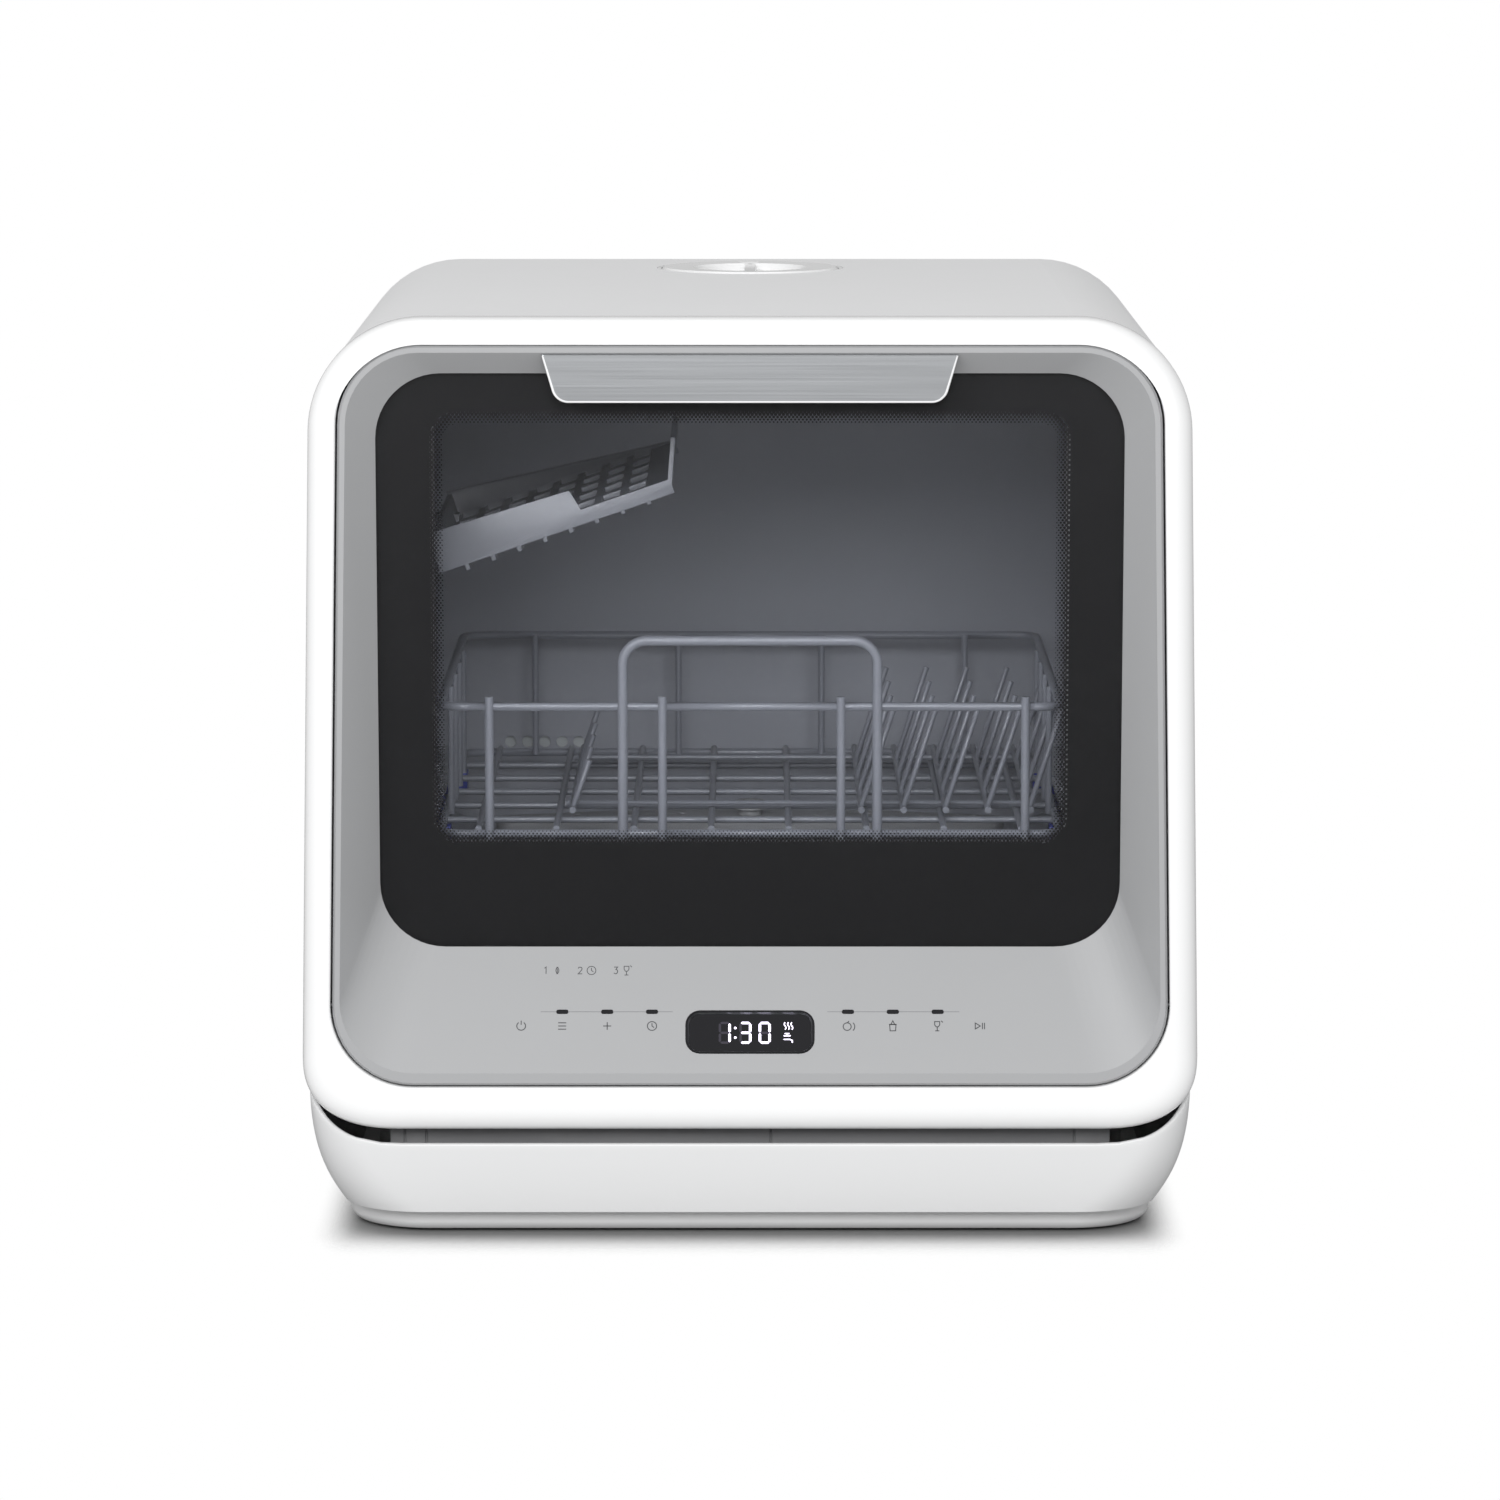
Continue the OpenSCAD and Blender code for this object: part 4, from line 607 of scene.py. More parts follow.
rows = [wall_row(lambda edge, k=k: BASE_LOW + (edge - RIM - BASE_LOW) * k / 14, 0) for k in range(15)]
for bend in [math.radians(30 * k) for k in (1, 2, 3)]:
    rows.append(wall_row(lambda edge, b=bend: edge - RIM * (1 - math.sin(b)), RIM * (1 - math.cos(bend))))
rows.append(wall_row(lambda edge: edge, BASE_WALL - 0.5))
for k in range(9):
    rows.append(wall_row(lambda edge: edge - 0.5 + (FLOOR_IN - edge + 0.5) * k / 8, BASE_WALL))
hull = lofted("base_skin", rows, "white_plastic", sharp=35)
print("base rows:", len(rows), "columns:", len(RIM_LINE))

# %% Air inlets
INLET_HALF, INLET_STEP, INLET_R = 3, 16, 2.9
INLET_FRONT, INLET_BACK = 146, 174
bm = bmesh.new()
for i in range(-3, 4):
    line = box_line(-INLET_HALF, INLET_HALF, INLET_FRONT, INLET_BACK, INLET_R, 6)
    line = [(x + i * INLET_STEP, y) for x, y in line]
    add_loft(bm, [at_z(line, BASE_LOW - 4), at_z(line, BASE_LOW + 6)])
inlets = from_bmesh("base_inlets", bm)
cut = hull.modifiers.new("air inlets", "BOOLEAN")
cut.object = inlets
cut.solver = "EXACT"
apply_modifiers(hull)
bpy.data.objects.remove(inlets)
hull.data.set_sharp_from_angle(angle=math.radians(35))
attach(hull, "housing")
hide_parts("base_shell")
print("base faces with its inlets:", len(hull.data.polygons))

# %% Ribs and posts inside the base
RIB_HALF, RIB_H = 185, 12
POST_X, POST_Y, POST_R, POST_TOP = 166, 150, 7, 54
bm = bmesh.new()
for y in (-150, -60, 130):
    line = [(-RIB_HALF, y), (-RIB_HALF, y + BASE_WALL), (RIB_HALF, y + BASE_WALL), (RIB_HALF, y)]
    add_loft(bm, [at_z(line, FLOOR_IN), at_z(line, FLOOR_IN + RIB_H)])
for y in (-POST_Y, POST_Y):
    for x in (-POST_X, POST_X):
        line = circle(x, y, POST_R, 16)
        add_loft(bm, [at_z(line, FLOOR_IN), at_z(line, POST_TOP)])
ribs = from_bmesh("base_ribs", bm, "white_plastic", sharp=40)
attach(ribs, "housing")
print("rib and post faces:", len(ribs.data.polygons))

# %% Foot ring
FOOT_HALF, FOOT_INSET, FOOT_R = 193.2, 24, 40
PROFILE = [(0, 11.9), (0, 5.5), (-0.5, 4.2), (-1.6, 2.6), (-3, 1.6), (-11, 1.6), (-11, 11.9)]


def foot_line(grow):
    half, front, back = FOOT_HALF + grow, FRONT + FOOT_INSET - grow, BACK - FOOT_INSET + grow
    return box_line(-half, half, front, back, FOOT_R + grow, 16)


rings = [at_z(foot_line(grow), z) for grow, z in PROFILE]
foot = lofted("foot_ring", rings, "white_foot", sharp=30, closed=True)
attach(foot, "housing")
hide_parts("plinth")
print("foot ring faces:", len(foot.data.polygons))

# %% [markdown]
# ## The outer pane
# The pane is a sheet of tempered glass with ground edges. Its black border is ceramic ink on
# the back, so it is a separate thin sheet behind the glass, and the clear glass in front of it
# gives the border its depth.

# %% Outer pane and its border
# the window that the solid ink leaves open, from the pane's own top
INK_HALF, INK_LOW, INK_TOP, INK_R = 150.8, -226.2, -18.3, 13.0
PANE_MARGIN = 3


def pane_line(grow):
    more = PANE_MARGIN + grow
    half = GLASS_HALF + more
    return box_line(-half, half, -GLASS_LEN - more, more, GLASS_R + more, 16)


rings = [
    at_y(pane_line(-0.5), 0.02), at_y(pane_line(-0.1), 0.35),
    at_y(pane_line(-0.1), PANE_T - 0.4), at_y(pane_line(-0.5), PANE_T - 0.1),
]
pane = lofted("outer_pane", rings, "tinted_glass", PANE)
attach(pane, "door")
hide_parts("door_glass")

outer, inner = pane_line(-0.4), box_line(-INK_HALF, INK_HALF, INK_LOW, INK_TOP, INK_R, 16)
rings = [at_y(outer, PANE_T - 0.08), at_y(inner, PANE_T - 0.08)]
rings += [at_y(inner, PANE_T - 0.01), at_y(outer, PANE_T - 0.01)]
border = lofted("pane_border", rings, "ceramic_print", PANE, closed=True)
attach(border, "door")
print("pane and border made")

# %% [markdown]
# ## The halftone
# Where the border meets the window, it breaks up into staggered dots that shrink towards the
# clear glass. There are thousands, and each dot's size follows from how far it is from the
# window, so Geometry Nodes makes them: a grid of points, a distance to a rounded rectangle,
# and one small disc on each point that is left.


# %% Geometry tree helpers
def geometry_tree(name, numbers):
    """A tree with a material input and one input for each number, each with its usual value."""
    tree = bpy.data.node_groups.new(name, "GeometryNodeTree")
    socket(tree, "Geometry", "NodeSocketGeometry", "OUTPUT")
    socket(tree, "Material", "NodeSocketMaterial", "INPUT")
    for label, value in numbers.items():
        kind = "NodeSocketInt" if isinstance(value, int) else "NodeSocketFloat"
        socket(tree, label, kind, "INPUT", value)

    def calc(operation, *values):
        return math_node(tree, operation, *values)

    return tree, tree.nodes.new("NodeGroupInput").outputs, calc


def put_on_points(tree, given, points, shape, size=(1, 1, 1)):
    """Ends a tree: a shape on every point, made real and given the material."""
    inputs = {"Points": points.outputs[0], "Instance": shape.outputs[0], "Scale": size}
    put = new_node(tree, "GeometryNodeInstanceOnPoints", inputs)
    real = new_node(tree, "GeometryNodeRealizeInstances", {"Geometry": put.outputs[0]})
    inputs = {"Geometry": real.outputs[0], "Material": given["Material"]}
    dressed = new_node(tree, "GeometryNodeSetMaterial", inputs)
    new_node(tree, "NodeGroupOutput", {"Geometry": dressed.outputs[0]})


def run_tree(name, tree, material, numbers):
    """Runs a tree once on an empty mesh and returns its result as a plain mesh."""
    holder = bpy.data.objects.new(name, bpy.data.meshes.new(name))
    bpy.context.scene.collection.objects.link(holder)
    modifier = holder.modifiers.new(name, "NODES")
    modifier.node_group = tree
    values = {"Material": material, **numbers}
    for item in tree.interface.items_tree:
        if item.item_type == "SOCKET" and item.in_out == "INPUT" and item.name in values:
            modifier[item.identifier] = values[item.name]
    result = bpy.data.meshes.new_from_object(holder.evaluated_get(bpy.context.evaluated_depsgraph_get()))
    empty = holder.data
    bpy.data.objects.remove(holder)
    bpy.data.meshes.remove(empty)
    result.materials.clear()
    result.materials.append(material)
    result.polygons.foreach_set("material_index", [0] * len(result.polygons))
    return result


# %% Halftone tree
def halftone_tree():
    numbers = {
        "Half Width": 0.15, "Half Height": 0.11, "Corner Radius": 0.016, "Band": 0.006,
        "Pitch": 0.0018, "Row Pitch": 0.0012, "Smallest Dot": 0.0003, "Largest Dot": 0.0009,
    }
    tree, given, calc = geometry_tree("halftone dots", numbers)
    new = tree.nodes.new

    # a staggered grid from the number of each point
    width, height = [calc("MULTIPLY", given[half], 2.0) for half in ("Half Width", "Half Height")]
    columns = calc("ADD", calc("FLOOR", calc("DIVIDE", width, given["Pitch"])), 1.0)
    rows = calc("ADD", calc("FLOOR", calc("DIVIDE", height, given["Row Pitch"])), 1.0)
    index = new("GeometryNodeInputIndex").outputs[0]
    row = calc("FLOOR", calc("DIVIDE", calc("ADD", index, 0.5), columns))
    column = calc("SUBTRACT", index, calc("MULTIPLY", row, columns))
    stagger = calc("MULTIPLY", calc("MODULO", row, 2.0), 0.5)
    across = calc("MULTIPLY", calc("ADD", column, stagger), given["Pitch"])
    x = calc("SUBTRACT", across, given["Half Width"])
    z = calc("SUBTRACT", calc("MULTIPLY", row, given["Row Pitch"]), given["Half Height"])
    place = new_node(tree, "ShaderNodeCombineXYZ", {"X": x, "Z": z})
    inputs = {"Count": calc("MULTIPLY", columns, rows), "Position": place.outputs[0]}
    points = new_node(tree, "GeometryNodePoints", inputs)

    # distance inwards from the rounded rectangle that bounds the solid ink
    radius = given["Corner Radius"]
    side_x = calc("ADD", calc("SUBTRACT", calc("ABSOLUTE", x), given["Half Width"]), radius)
    side_z = calc("ADD", calc("SUBTRACT", calc("ABSOLUTE", z), given["Half Height"]), radius)
    corner = distance_of(tree, calc("MAXIMUM", side_x, 0.0), calc("MAXIMUM", side_z, 0.0))
    inside = calc("MINIMUM", calc("MAXIMUM", side_x, side_z), 0.0)
    depth = calc("SUBTRACT", radius, calc("ADD", corner, inside))
    store = new("GeometryNodeStoreNamedAttribute")
    store.data_type = "FLOAT"
    store.domain = "POINT"
    feed(tree, store, {"Geometry": points.outputs[0], "Name": "depth", "Value": depth})
    saved = new("GeometryNodeInputNamedAttribute")
    saved.data_type = "FLOAT"
    value = feed(tree, saved, {"Name": "depth"}).outputs[0]

    # only the points in the band stay, and each gets a disc that is smaller further in
    outside, past_band = calc("LESS_THAN", value, -0.0002), calc("GREATER_THAN", value, given["Band"])
    drop = new("GeometryNodeDeleteGeometry")
    drop.domain = "POINT"
    feed(tree, drop, {"Geometry": store.outputs[0], "Selection": calc("MAXIMUM", outside, past_band)})
    disc = new("GeometryNodeMeshCircle")
    disc.fill_type = "NGON"
    feed(tree, disc, {"Vertices": 8, "Radius": 1.0})
    inputs = {"Geometry": disc.outputs[0], "Rotation": (math.radians(90), 0, 0)}
    turn = new_node(tree, "GeometryNodeTransform", inputs)
    size = remap(tree, value, given["Largest Dot"], given["Smallest Dot"], 0.0, given["Band"])
    put_on_points(tree, given, drop, turn, size)
    return tree


# %% Halftone dots on the pane
HALFTONE = {
    "Half Width": INK_HALF, "Half Height": (INK_TOP - INK_LOW) / 2, "Corner Radius": INK_R, "Band": 6.2,
    "Pitch": 1.83, "Row Pitch": 1.2, "Smallest Dot": 0.30, "Largest Dot": 0.98,
}
metres = {name: size * MM for name, size in HALFTONE.items()}
dots_mesh = run_tree("halftone", halftone_tree(), M["ceramic_print"], metres)
lift = PANE @ Matrix.Translation((0, PANE_T - 0.05, (INK_LOW + INK_TOP) / 2)) @ Matrix.Scale(1000, 4)
dots_mesh.transform(lift)
dots = finish_mesh("halftone_dots", dots_mesh)
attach(dots, "door")
print("halftone dots:", len(dots_mesh.polygons))

# %% [markdown]
# ## The handle
# The grip is a brushed metal strip with slanted ends and a lip along its top. Its edges are
# polished to a narrow chamfer, which shines along its two ends and its foot. Part of that
# shine is a painted highlight: the chamfer is coloured nearly white and barely metallic.

# %% Handle
HANDLE_LOW, HANDLE_TOP = 400.7, 423.3
HANDLE_HALF_LOW, HANDLE_HALF_TOP, LIP_HALF = 91.0, 97.6, 95.5


def handle_line(grow):
    half_low, half_top = HANDLE_HALF_LOW + grow, HANDLE_HALF_TOP + grow
    low, top = HANDLE_LOW - grow, HANDLE_TOP + grow * 0.3
    corners = [(-half_low, low), (half_low, low), (half_top, top), (-half_top, top)]
    return rounded(corners, [8 + grow, 8 + grow, 0.4, 0.4], 12)


bm = bmesh.new()
sections = ((-0.2, 2.4), (0, 2.1), (0, 0.3), (-0.3, -0.1), (-0.95, -0.3))
add_loft(bm, [at_y(handle_line(grow), DOOR_FRONT + y) for grow, y in sections])
lip = [(2.3, -4.2), (7.5, -4.2), (5.2, -1.6), (2.3, -0.2)]
add_loft(bm, [[(x, DOOR_FRONT + y, HANDLE_TOP + z) for y, z in lip] for x in (-LIP_HALF, LIP_HALF)])
grip = from_bmesh("handle_skin", bm, "brushed_metal", sharp=10)
# the chamfer faces get the painted highlight colour
grip.data.materials.append(M["polished_edge_painted_highlight"])
for face in grip.data.polygons:
    below_top = face.center.z < (HANDLE_TOP - 0.6) * MM
    at_edge = -0.35 < face.center.y / MM - DOOR_FRONT < 0.25
    if below_top and at_edge and abs(face.normal.y) < 0.99:
        face.material_index = 1
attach(grip, "door")
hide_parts("handle")
print("handle faces:", len(grip.data.polygons))

# %% [markdown]
# ## Prints on the panel
# The symbols are thin ink. Each one is a few strokes in the panel's own plane, and a stroke is
# a ribbon with mitred corners and a few hundredths of a millimetre of thickness, so that it
# stays a real, closed shape.


# %% Ribbons
def add_ribbon(bm, path, width, closed=False, y0=-0.04, y1=0.02):
    """A flat stroke of the given width along (x, z) points, as a closed solid."""
    points = [Vector(p) for p in path]
    count = len(points)
    left, right = [], []
    for i, point in enumerate(points):
        before = points[i - 1] if closed or i else None
        after = points[(i + 1) % count] if closed or i < count - 1 else None
        a = (point - before).normalized() if before is not None else None
        b = (after - point).normalized() if after is not None else None
        a, b = a or b, b or a
        across = Vector((-(a + b).y, (a + b).x)).normalized()
        reach = width / 2 / max(0.35, across.dot(Vector((-a.y, a.x))))
        left.append(point + across * reach)
        right.append(point - across * reach)
    rings = [
        [bm.verts.new((p.x, y, p.y)) for p, y in ((l, y0), (r, y0), (r, y1), (l, y1))]
        for l, r in zip(left, right)
    ]
    pairs = list(zip(rings, rings[1:])) + ([(rings[-1], rings[0])] if closed else [])
    for ring_a, ring_b in pairs:
        for k in range(4):
            bm.faces.new((ring_a[k], ring_a[(k + 1) % 4], ring_b[(k + 1) % 4], ring_b[k]))
    if not closed:
        bm.faces.new(rings[0])
        bm.faces.new(list(reversed(rings[-1])))


# %% Symbols
def sign(loops, lines):
    """The strokes of a sign, each with whether it is closed."""
    return [(path, True) for path in loops] + [(path, False) for path in lines]


ONE = [(-0.6, 1.3), (0.3, 2.0), (0.3, -2.0)]
TWO = [(-1.1, 1.2), (-0.7, 1.8), (0.0, 2.0), (0.8, 1.7), (1.1, 1.0), (0.8, 0.2), (-1.1, -2.0), (1.2, -2.0)]
THREE = [(-1.0, 2.0), (1.0, 2.0), (0.0, 0.6), (0.7, 0.4), (1.1, -0.5), (0.8, -1.5), (0.0, -2.0), (-1.1, -1.5)]
BOTTLE_BODY = [(-1.3, -2.4), (1.3, -2.4), (1.5, 0.7), (-1.5, 0.7)]
GOBLET_BOWL = [(-1.5, 2.2), (-1.5, 0.6), (-0.8, -0.4), (0.2, -0.4), (0.9, 0.6), (0.9, 2.2)]
TRIANGLE = [(-2.2, -1.5), (-2.2, 1.5), (0.2, 0)]
LEAF_EDGE = arc(-1.2, 0, 2.2, -50, 50, 10) + arc(1.7, 0, 2.2, 130, 230, 10)

POWER = sign([], [arc(0, 0, 2.1, 125, 415), [(0, 0.6), (0, 2.7)]])
LIST = sign([], [[(-1.9, z), (1.9, z)] for z in (1.6, 0, -1.6)])
PLUS = sign([], [[(-1.9, 0), (1.9, 0)], [(0, -1.9), (0, 1.9)]])
CLOCK = sign([circle(0, 0, 2.2)], [[(0, 1.4), (0, 0), (1.0, -0.8)]])
FRUIT = sign([circle(-0.4, -0.3, 1.9)], [[(-0.4, 1.4), (0.5, 2.5)], arc(0.6, -0.3, 2.6, -48, 48, 10)])
BOTTLE = sign([BOTTLE_BODY], [[(-1.8, 0.8), (1.8, 0.8)], [(-0.8, 1.0), (0, 2.6), (0.8, 1.0)]])
GOBLET = sign(
    [GOBLET_BOWL],
    [[(-0.3, -0.5), (-0.3, -2.3)], [(-1.3, -2.4), (0.7, -2.4)], [(1.6, 2.6), (2.4, 1.8)]],
)
START = sign([TRIANGLE], [[(x, -1.6), (x, 1.6)] for x in (1.2, 2.2)])
LEAF = sign([LEAF_EDGE], [[(0.2, -1.2), (0.2, 1.0)]])


def add_sign(bm, strokes, x, z, size=1.0, width=0.46):
    for path, closed in strokes:
        add_ribbon(bm, [(x + px * size, z + pz * size) for px, pz in path], width, closed)


# %% Signs on the panel
KEYS = [
    (-108.8, POWER), (-89.3, LIST), (-67.9, PLUS), (-46.6, CLOCK),
    (46.6, FRUIT), (67.9, BOTTLE), (89.3, GOBLET), (109.3, START),
]
PROGRAMMES = [(ONE, LEAF, -97.5), (TWO, CLOCK, -81.0), (THREE, GOBLET, -64.0)]
KEY_UP, LAMP_UP, LABEL_UP = 23.6, 30.7, 51.4
bm = bmesh.new()
for x, strokes in KEYS:
    add_sign(bm, strokes, x, KEY_UP)
for digit, strokes, x in PROGRAMMES:
    add_sign(bm, sign([], [digit]), x, LABEL_UP, 0.85, 0.38)
    add_sign(bm, strokes, x + 5.4, LABEL_UP, 0.95, 0.36)
signs = from_bmesh("panel_signs", bm, "panel_print", PANEL)
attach(signs, "door")

bm = bmesh.new()
for side in (-1, 1):
    add_ribbon(bm, [(side * 36.8, LAMP_UP), (side * 99.6, LAMP_UP)], 0.28, y0=-0.03)
hairlines = from_bmesh("panel_hairlines", bm, "hairline_print", PANEL)
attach(hairlines, "door")
print("signs:", len(KEYS), "keys and", len(PROGRAMMES), "programmes")

# %% [markdown]
# ## Screws on the rear cover
# The cover is held by two columns of cross-head screws. One tree places the points from the
# cover's own sizes and cuts the cross out of a single head with one boolean, then puts that
# head on every point.


# %% Screw tree
def screw_tree():
    numbers = {
        "Half Low": 0.19, "Half Top": 0.185, "Low": 0.09, "Top": 0.40, "Rows": 4,
        "Head Radius": 0.0036, "Head Height": 0.0014,
    }
    tree, given, calc = geometry_tree("cross-head screws", numbers)

    # two columns that lean with the cover
    index = tree.nodes.new("GeometryNodeInputIndex").outputs[0]
    row = calc("FLOOR", calc("DIVIDE", calc("ADD", index, 0.5), 2.0))
    side = calc("SUBTRACT", calc("MULTIPLY", calc("MODULO", index, 2.0), 2.0), 1.0)
    share = calc("DIVIDE", row, calc("SUBTRACT", given["Rows"], 1.0))
    slope = calc("MULTIPLY", calc("SUBTRACT", given["Half Top"], given["Half Low"]), share)
    rise = calc("MULTIPLY", calc("SUBTRACT", given["Top"], given["Low"]), share)
    x, z = calc("MULTIPLY", side, calc("ADD", given["Half Low"], slope)), calc("ADD", given["Low"], rise)
    place = new_node(tree, "ShaderNodeCombineXYZ", {"X": x, "Z": z})
    inputs = {"Count": calc("MULTIPLY", given["Rows"], 2.0), "Position": place.outputs[0]}
    points = new_node(tree, "GeometryNodePoints", inputs)

    # one head, with the cross cut by two blades
    radius, height = given["Head Radius"], given["Head Height"]
    inputs = {"Radius Bottom": radius, "Radius Top": calc("MULTIPLY", radius, 0.74), "Depth": height}
    head = new_node(tree, "GeometryNodeMeshCone", {"Vertices": 20, **inputs})
    cross = tree.nodes.new("GeometryNodeMeshBoolean")
    cross.operation = "DIFFERENCE"
    cross.solver = "EXACT"
    link(tree, head.outputs["Mesh"], cross.inputs["Mesh 1"])
    for across, along in ((1.1, 0.26), (0.26, 1.1)):
        sides = {"X": calc("MULTIPLY", radius, across), "Y": calc("MULTIPLY", radius, along), "Z": height}
        size = new_node(tree, "ShaderNodeCombineXYZ", sides)
        blade = new_node(tree, "GeometryNodeMeshCube", {"Size": size.outputs[0]})
        lift = new_node(tree, "ShaderNodeCombineXYZ", {"Z": calc("MULTIPLY", height, 0.9)})
        inputs = {"Geometry": blade.outputs["Mesh"], "Translation": lift.outputs[0]}
        raised = new_node(tree, "GeometryNodeTransform", inputs)
        link(tree, raised.outputs[0], cross.inputs["Mesh 2"])
    inputs = {"Geometry": cross.outputs["Mesh"], "Rotation": (math.radians(-90), math.radians(20), 0)}
    turn = new_node(tree, "GeometryNodeTransform", inputs)
    put_on_points(tree, given, points, turn)
    return tree


# %% Screws on the cover
SCREW_Y = 217.0
metres = {"Half Low": 0.197, "Half Top": 0.192, "Low": 0.115, "Top": 0.395, "Rows": 4}
screw_mesh = run_tree("rear_screws", screw_tree(), M["steel"], metres)
screw_mesh.transform(Matrix.Translation((0, SCREW_Y * MM, 0)))
screws = finish_mesh("rear_screws", screw_mesh, 30)
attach(screws, "housing")
print("screw faces:", len(screw_mesh.polygons))

# %% [markdown]
# ## The display
# Behind the black lens, seven-segment digits glow in a cool white, and the segments that are
# off still show as a faint shape. The lens sits in a glossy black rim, whose bevelled inner
# edge is bare metal.


# %% Display digits
def segment(x0, z0, x1, z1, thick):
    """A bar with pointed ends between two points, level or upright."""
    along = Vector((x1 - x0, z1 - z0)).normalized()
    across = Vector((-along.y, along.x)) * thick / 2
    a, b = Vector((x0, z0)), Vector((x1, z1))
    tip = along * thick / 2
    return [a, a + tip + across, b - tip + across, b, b - tip - across, a + tip - across]


def digit_segments(cx, cz, half_w=2.3, half_h=4.9, thick=1.15, gap=0.18):
    w, h = half_w - gap, half_h - gap
    spots = {
        "top": ((-w, half_h), (w, half_h)),
        "middle": ((-w, 0), (w, 0)),
        "bottom": ((-w, -half_h), (w, -half_h)),
        "upper left": ((-half_w, gap), (-half_w, h)),
        "upper right": ((half_w, gap), (half_w, h)),
        "lower left": ((-half_w, -h), (-half_w, -gap)),
        "lower right": ((half_w, -h), (half_w, -gap)),
    }
    return {
        key: segment(cx + a[0], cz + a[1], cx + b[0], cz + b[1], thick) for key, (a, b) in spots.items()
    }


LIT = {
    "1": ("upper right", "lower right"),
    "3": ("top", "upper right", "middle", "lower right", "bottom"),
    "0": ("top", "upper left", "upper right", "lower left", "lower right", "bottom"),
}
DISPLAY_UP = 20.6
LENS_Y = 1.2
GLOW_FRONT, GLOW_BACK = LENS_Y - 0.05, LENS_Y + 0.02
TAP_X = 18.3
TAP = [
    [(-2.3, 1.2), (1.0, 1.2)], [(-0.7, 1.2), (-0.7, 2.2)],
    [(-1.8, 2.3), (0.4, 2.3)], [(-2.3, -0.6), (0.8, -0.6), (1.8, -1.2), (1.8, -2.3)],
]


def add_flat(bm, line):
    add_loft(bm, [at_y(line, GLOW_FRONT), at_y(line, GLOW_BACK)])


# %% What the display shows
lit_bm, unlit_bm = bmesh.new(), bmesh.new()
for digit, cx in (("1", -12.0), ("3", -2.2), ("0", 7.0)):
    for key, line in digit_segments(cx, DISPLAY_UP).items():
        add_flat(lit_bm if key in LIT[digit] else unlit_bm, line)
for dz in (-2.4, 2.4):
    add_flat(lit_bm, circle(-7.0, DISPLAY_UP + dz, 0.62, 10))
for path in TAP:
    line = [(TAP_X + x, DISPLAY_UP - 2.7 + z) for x, z in path]
    add_ribbon(lit_bm, line, 0.55, False, GLOW_FRONT, GLOW_BACK)
for dx in (-1.6, 0, 1.6):
    wave = [(TAP_X + dx + 0.45 * math.sin(k * 1.05), DISPLAY_UP + 1.6 + k * 0.6) for k in range(7)]
    add_ribbon(lit_bm, wave, 0.5, False, GLOW_FRONT, GLOW_BACK)
lit = from_bmesh("display_lit", lit_bm, "digit_lit", PANEL)
unlit = from_bmesh("display_unlit", unlit_bm, "digit_unlit", PANEL)
for piece in (lit, unlit):
    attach(piece, "door")
    print(piece.name, len(piece.data.polygons), "faces")


# %% Display rim
DISPLAY_W, DISPLAY_H, DISPLAY_R = 61.3, 21.5, 7


def rim_sections(*sections):
    """Outlines of the display, each grown and put at its own depth."""
    rings = []
    for grow, y in sections:
        half_w, half_h = DISPLAY_W / 2 + grow, DISPLAY_H / 2 + grow
        line = box_line(-half_w, half_w, DISPLAY_UP - half_h, DISPLAY_UP + half_h, DISPLAY_R + grow, 14)
        rings.append(at_y(line, y))
    return rings


rings = rim_sections((0, 4.5), (0, 0.1), (-0.35, -0.12), (-0.8, -0.12), (-0.95, 0.1), (-0.95, 4.5))
rim = lofted("display_rim", rings, "black_gloss", PANEL, 25, closed=True)
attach(rim, "door")
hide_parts("display_bezel")

rings = rim_sections((-0.95, 4.4), (-0.95, 0.05), (-1.6, 1.1), (-1.6, 4.4))
rim_bevel = lofted("display_rim_bevel", rings, "brushed_metal", PANEL, 25, closed=True)
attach(rim_bevel, "door")
print("display made")

# %% [markdown]
# ## Camera, light and floor
# The camera stands 3.3 m away, a little above the machine, and looks down 8 degrees. The
# world is white for the camera. For everything else it is soft grey above. Below it is bright
# for matt surfaces, which a white table would light, and dark in mirrors, or the black glass
# would turn grey. Large lamps stand in for soft boxes. The floor has a painted contact shadow:
# an ambient occlusion node darkens its colour where the machine comes close to it. It fades out
# further away, so that its edge never shows.

# %% Camera
CAMERA_PLACE, CAMERA_TILT, LENS = (0, -3.3285, 0.6712), 82.047, 159.96
camera_data = bpy.data.cameras.new("camera")
camera_data.lens = LENS
camera_data.sensor_width = 36
camera = bpy.data.objects.new("camera", camera_data)
camera.location = CAMERA_PLACE
camera.rotation_euler = (math.radians(CAMERA_TILT), 0, 0)
bpy.context.scene.collection.objects.link(camera)
bpy.context.scene.camera = camera
print("camera at", CAMERA_PLACE, "with lens", LENS)


# %% Lamps
def soft_box(name, place, target, size, watts):
    lamp = bpy.data.lights.new(name, "AREA")
    lamp.shape = "RECTANGLE"
    lamp.size, lamp.size_y = size
    lamp.energy = watts
    holder = bpy.data.objects.new(name, lamp)
    holder.location = place
    holder.rotation_euler = (Vector(target) - Vector(place)).to_track_quat("-Z", "Y").to_euler()
    bpy.context.scene.collection.objects.link(holder)


soft_box("key", (-1.5, -2.6, 1.5), (0, -0.1, 0.24), (1.6, 1.6), 34)
soft_box("front", (0.1, -3.0, 1.35), (0, -0.1, 0.24), (1.4, 0.9), 44)
soft_box("fill", (1.9, -2.2, 1.1), (0, -0.1, 0.22), (1.6, 1.6), 5)
soft_box("top", (0, 0.3, 2.4), (0, 0, 0.3), (1.8, 1.8), 8)
print("soft boxes:", len(bpy.data.lights))

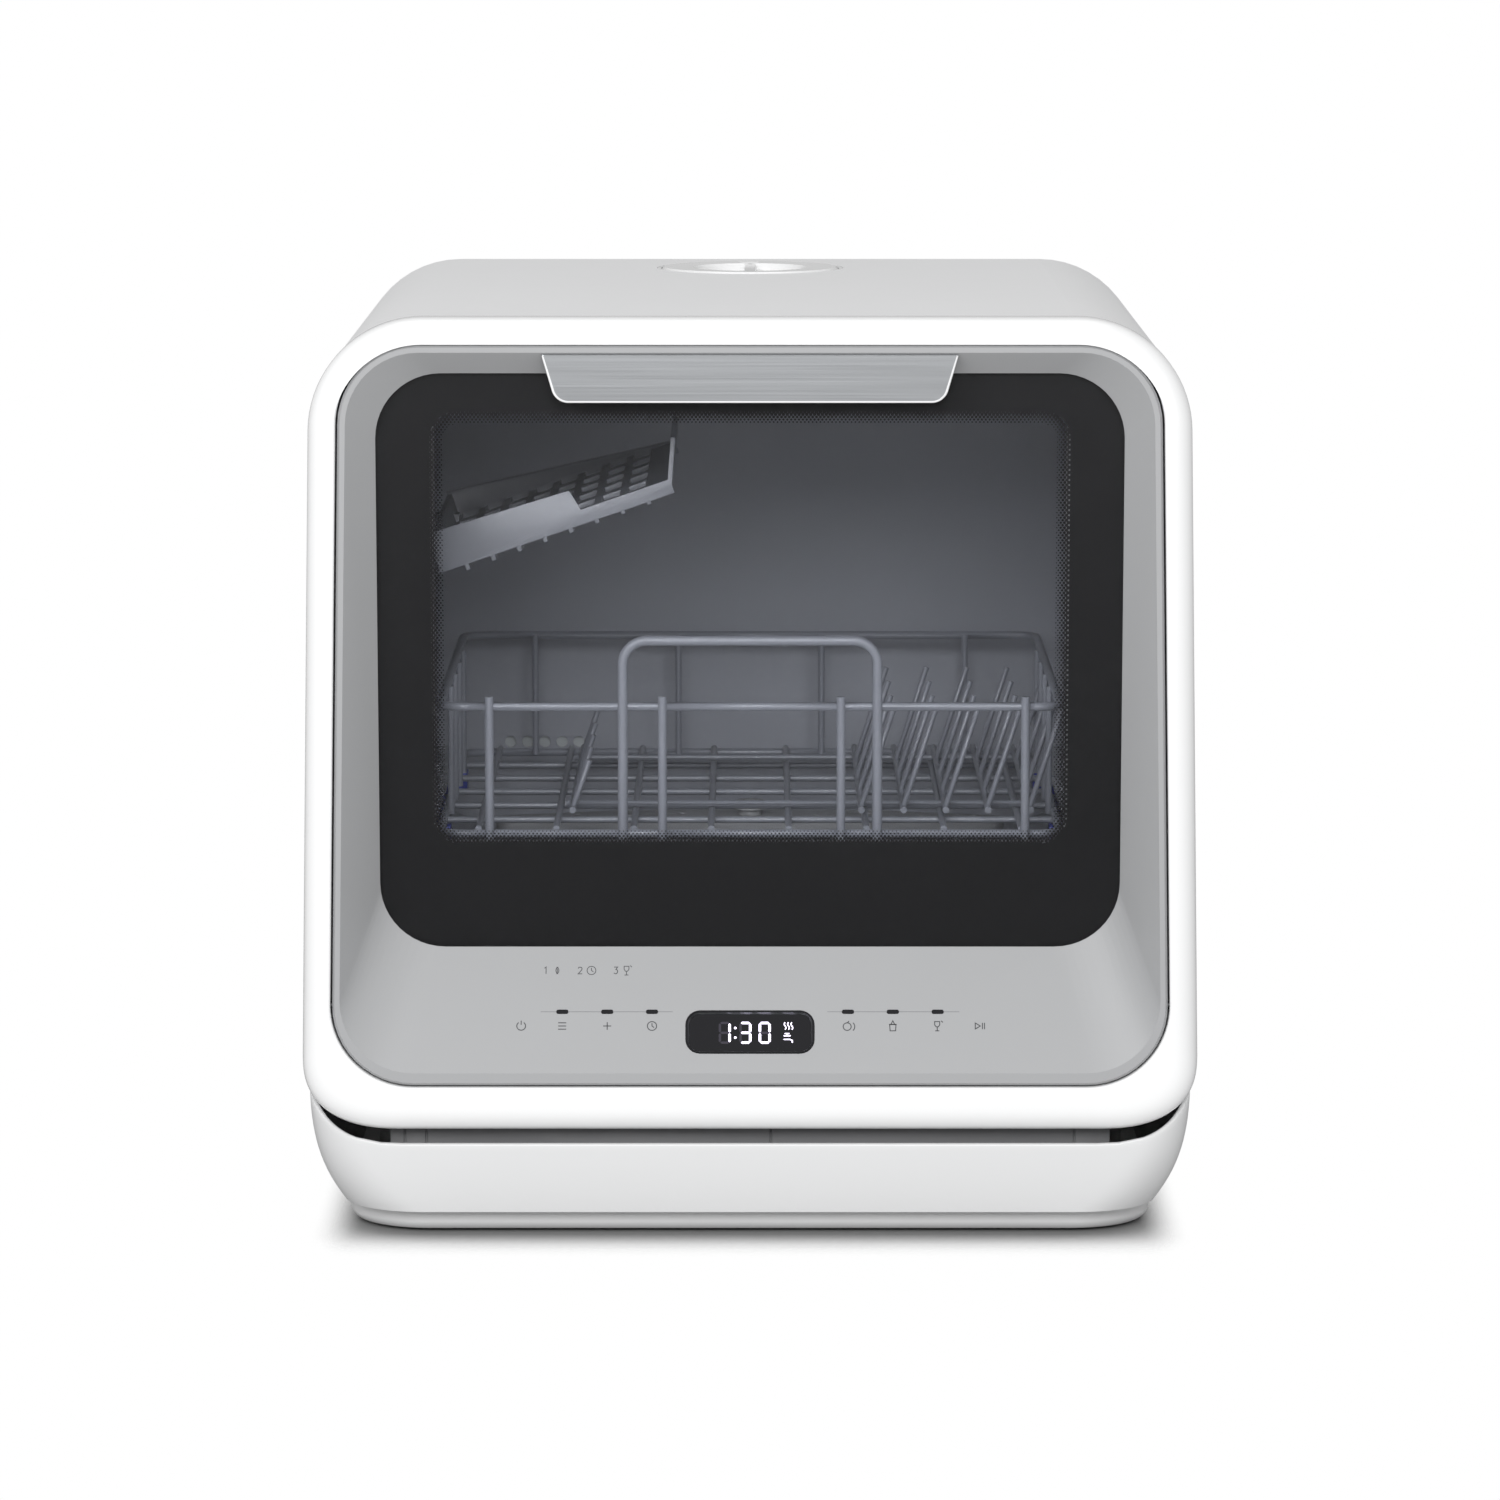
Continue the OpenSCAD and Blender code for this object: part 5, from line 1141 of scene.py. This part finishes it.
# %% World
BELOW_IN_MIRRORS, BELOW_ON_MATT, ABOVE = 0.08, 0.80, 0.50
BAND_LOW, BAND_TOP = -0.3, 0.12
world = bpy.data.worlds.new("studio")
world.use_nodes = True
bpy.context.scene.world = world
tree = world.node_tree
path = tree.nodes.new("ShaderNodeLightPath").outputs
view = tree.nodes.new("ShaderNodeTexCoord").outputs["Generated"]
direction = new_node(tree, "ShaderNodeSeparateXYZ", {0: view})
below = remap(tree, path["Is Diffuse Ray"], BELOW_IN_MIRRORS, BELOW_ON_MATT)
grey = remap(tree, direction.outputs["Z"], below, ABOVE, BAND_LOW, BAND_TOP, "SMOOTHSTEP")
strength = remap(tree, path["Is Camera Ray"], grey, 1.0)
feed(tree, tree.nodes["Background"], {"Color": (1, 1, 1, 1), "Strength": strength})
print("world nodes:", len(tree.nodes))

# %% Floor
bm = bmesh.new()
bmesh.ops.create_grid(bm, x_segments=8, y_segments=8, size=2.5)
floor_mesh = bpy.data.meshes.new("floor")
bm.to_mesh(floor_mesh)
bm.free()
floor = bpy.data.objects.new("floor", floor_mesh)
floor.location = (0, 0, -0.0002)
bpy.context.scene.collection.objects.link(floor)
floor_with_painted_shadow, tree, shader = new_material("floor")
# a painted contact shadow: ambient occlusion darkens the floor's own colour near the machine
near = new_node(tree, "ShaderNodeAmbientOcclusion", {"Distance": 0.075})
painted_contact_shadow = remap(tree, near.outputs["AO"], 0.24, 0.93, 0.25, 0.92, "SMOOTHSTEP")
feed(tree, shader, {"Base Color": painted_contact_shadow, "Roughness": 0.7, "Specular IOR Level": 0.2})

# %% Where the floor ends
# how far out the floor stays whole along each axis, and over what distance it then fades
FADE = (("X", 0.187, 0.024), ("Y", 0.198, 0.055))
place = tree.nodes.new("ShaderNodeTexCoord").outputs["Object"]
parts = new_node(tree, "ShaderNodeSeparateXYZ", {0: place})
past = []
for axis, half, reach in FADE:
    beyond = math_node(tree, "SUBTRACT", math_node(tree, "ABSOLUTE", parts.outputs[axis]), half)
    past.append(math_node(tree, "DIVIDE", math_node(tree, "MAXIMUM", beyond, 0.0), reach))
fade = remap(tree, distance_of(tree, *past), 0.0, 1.0, kind="SMOOTHSTEP")
mixed_output(tree, fade, shader, tree.nodes.new("ShaderNodeBsdfTransparent"))
floor_mesh.materials.append(floor_with_painted_shadow)
bpy.context.scene.view_settings.view_transform = "Standard"
print("floor made")

import json
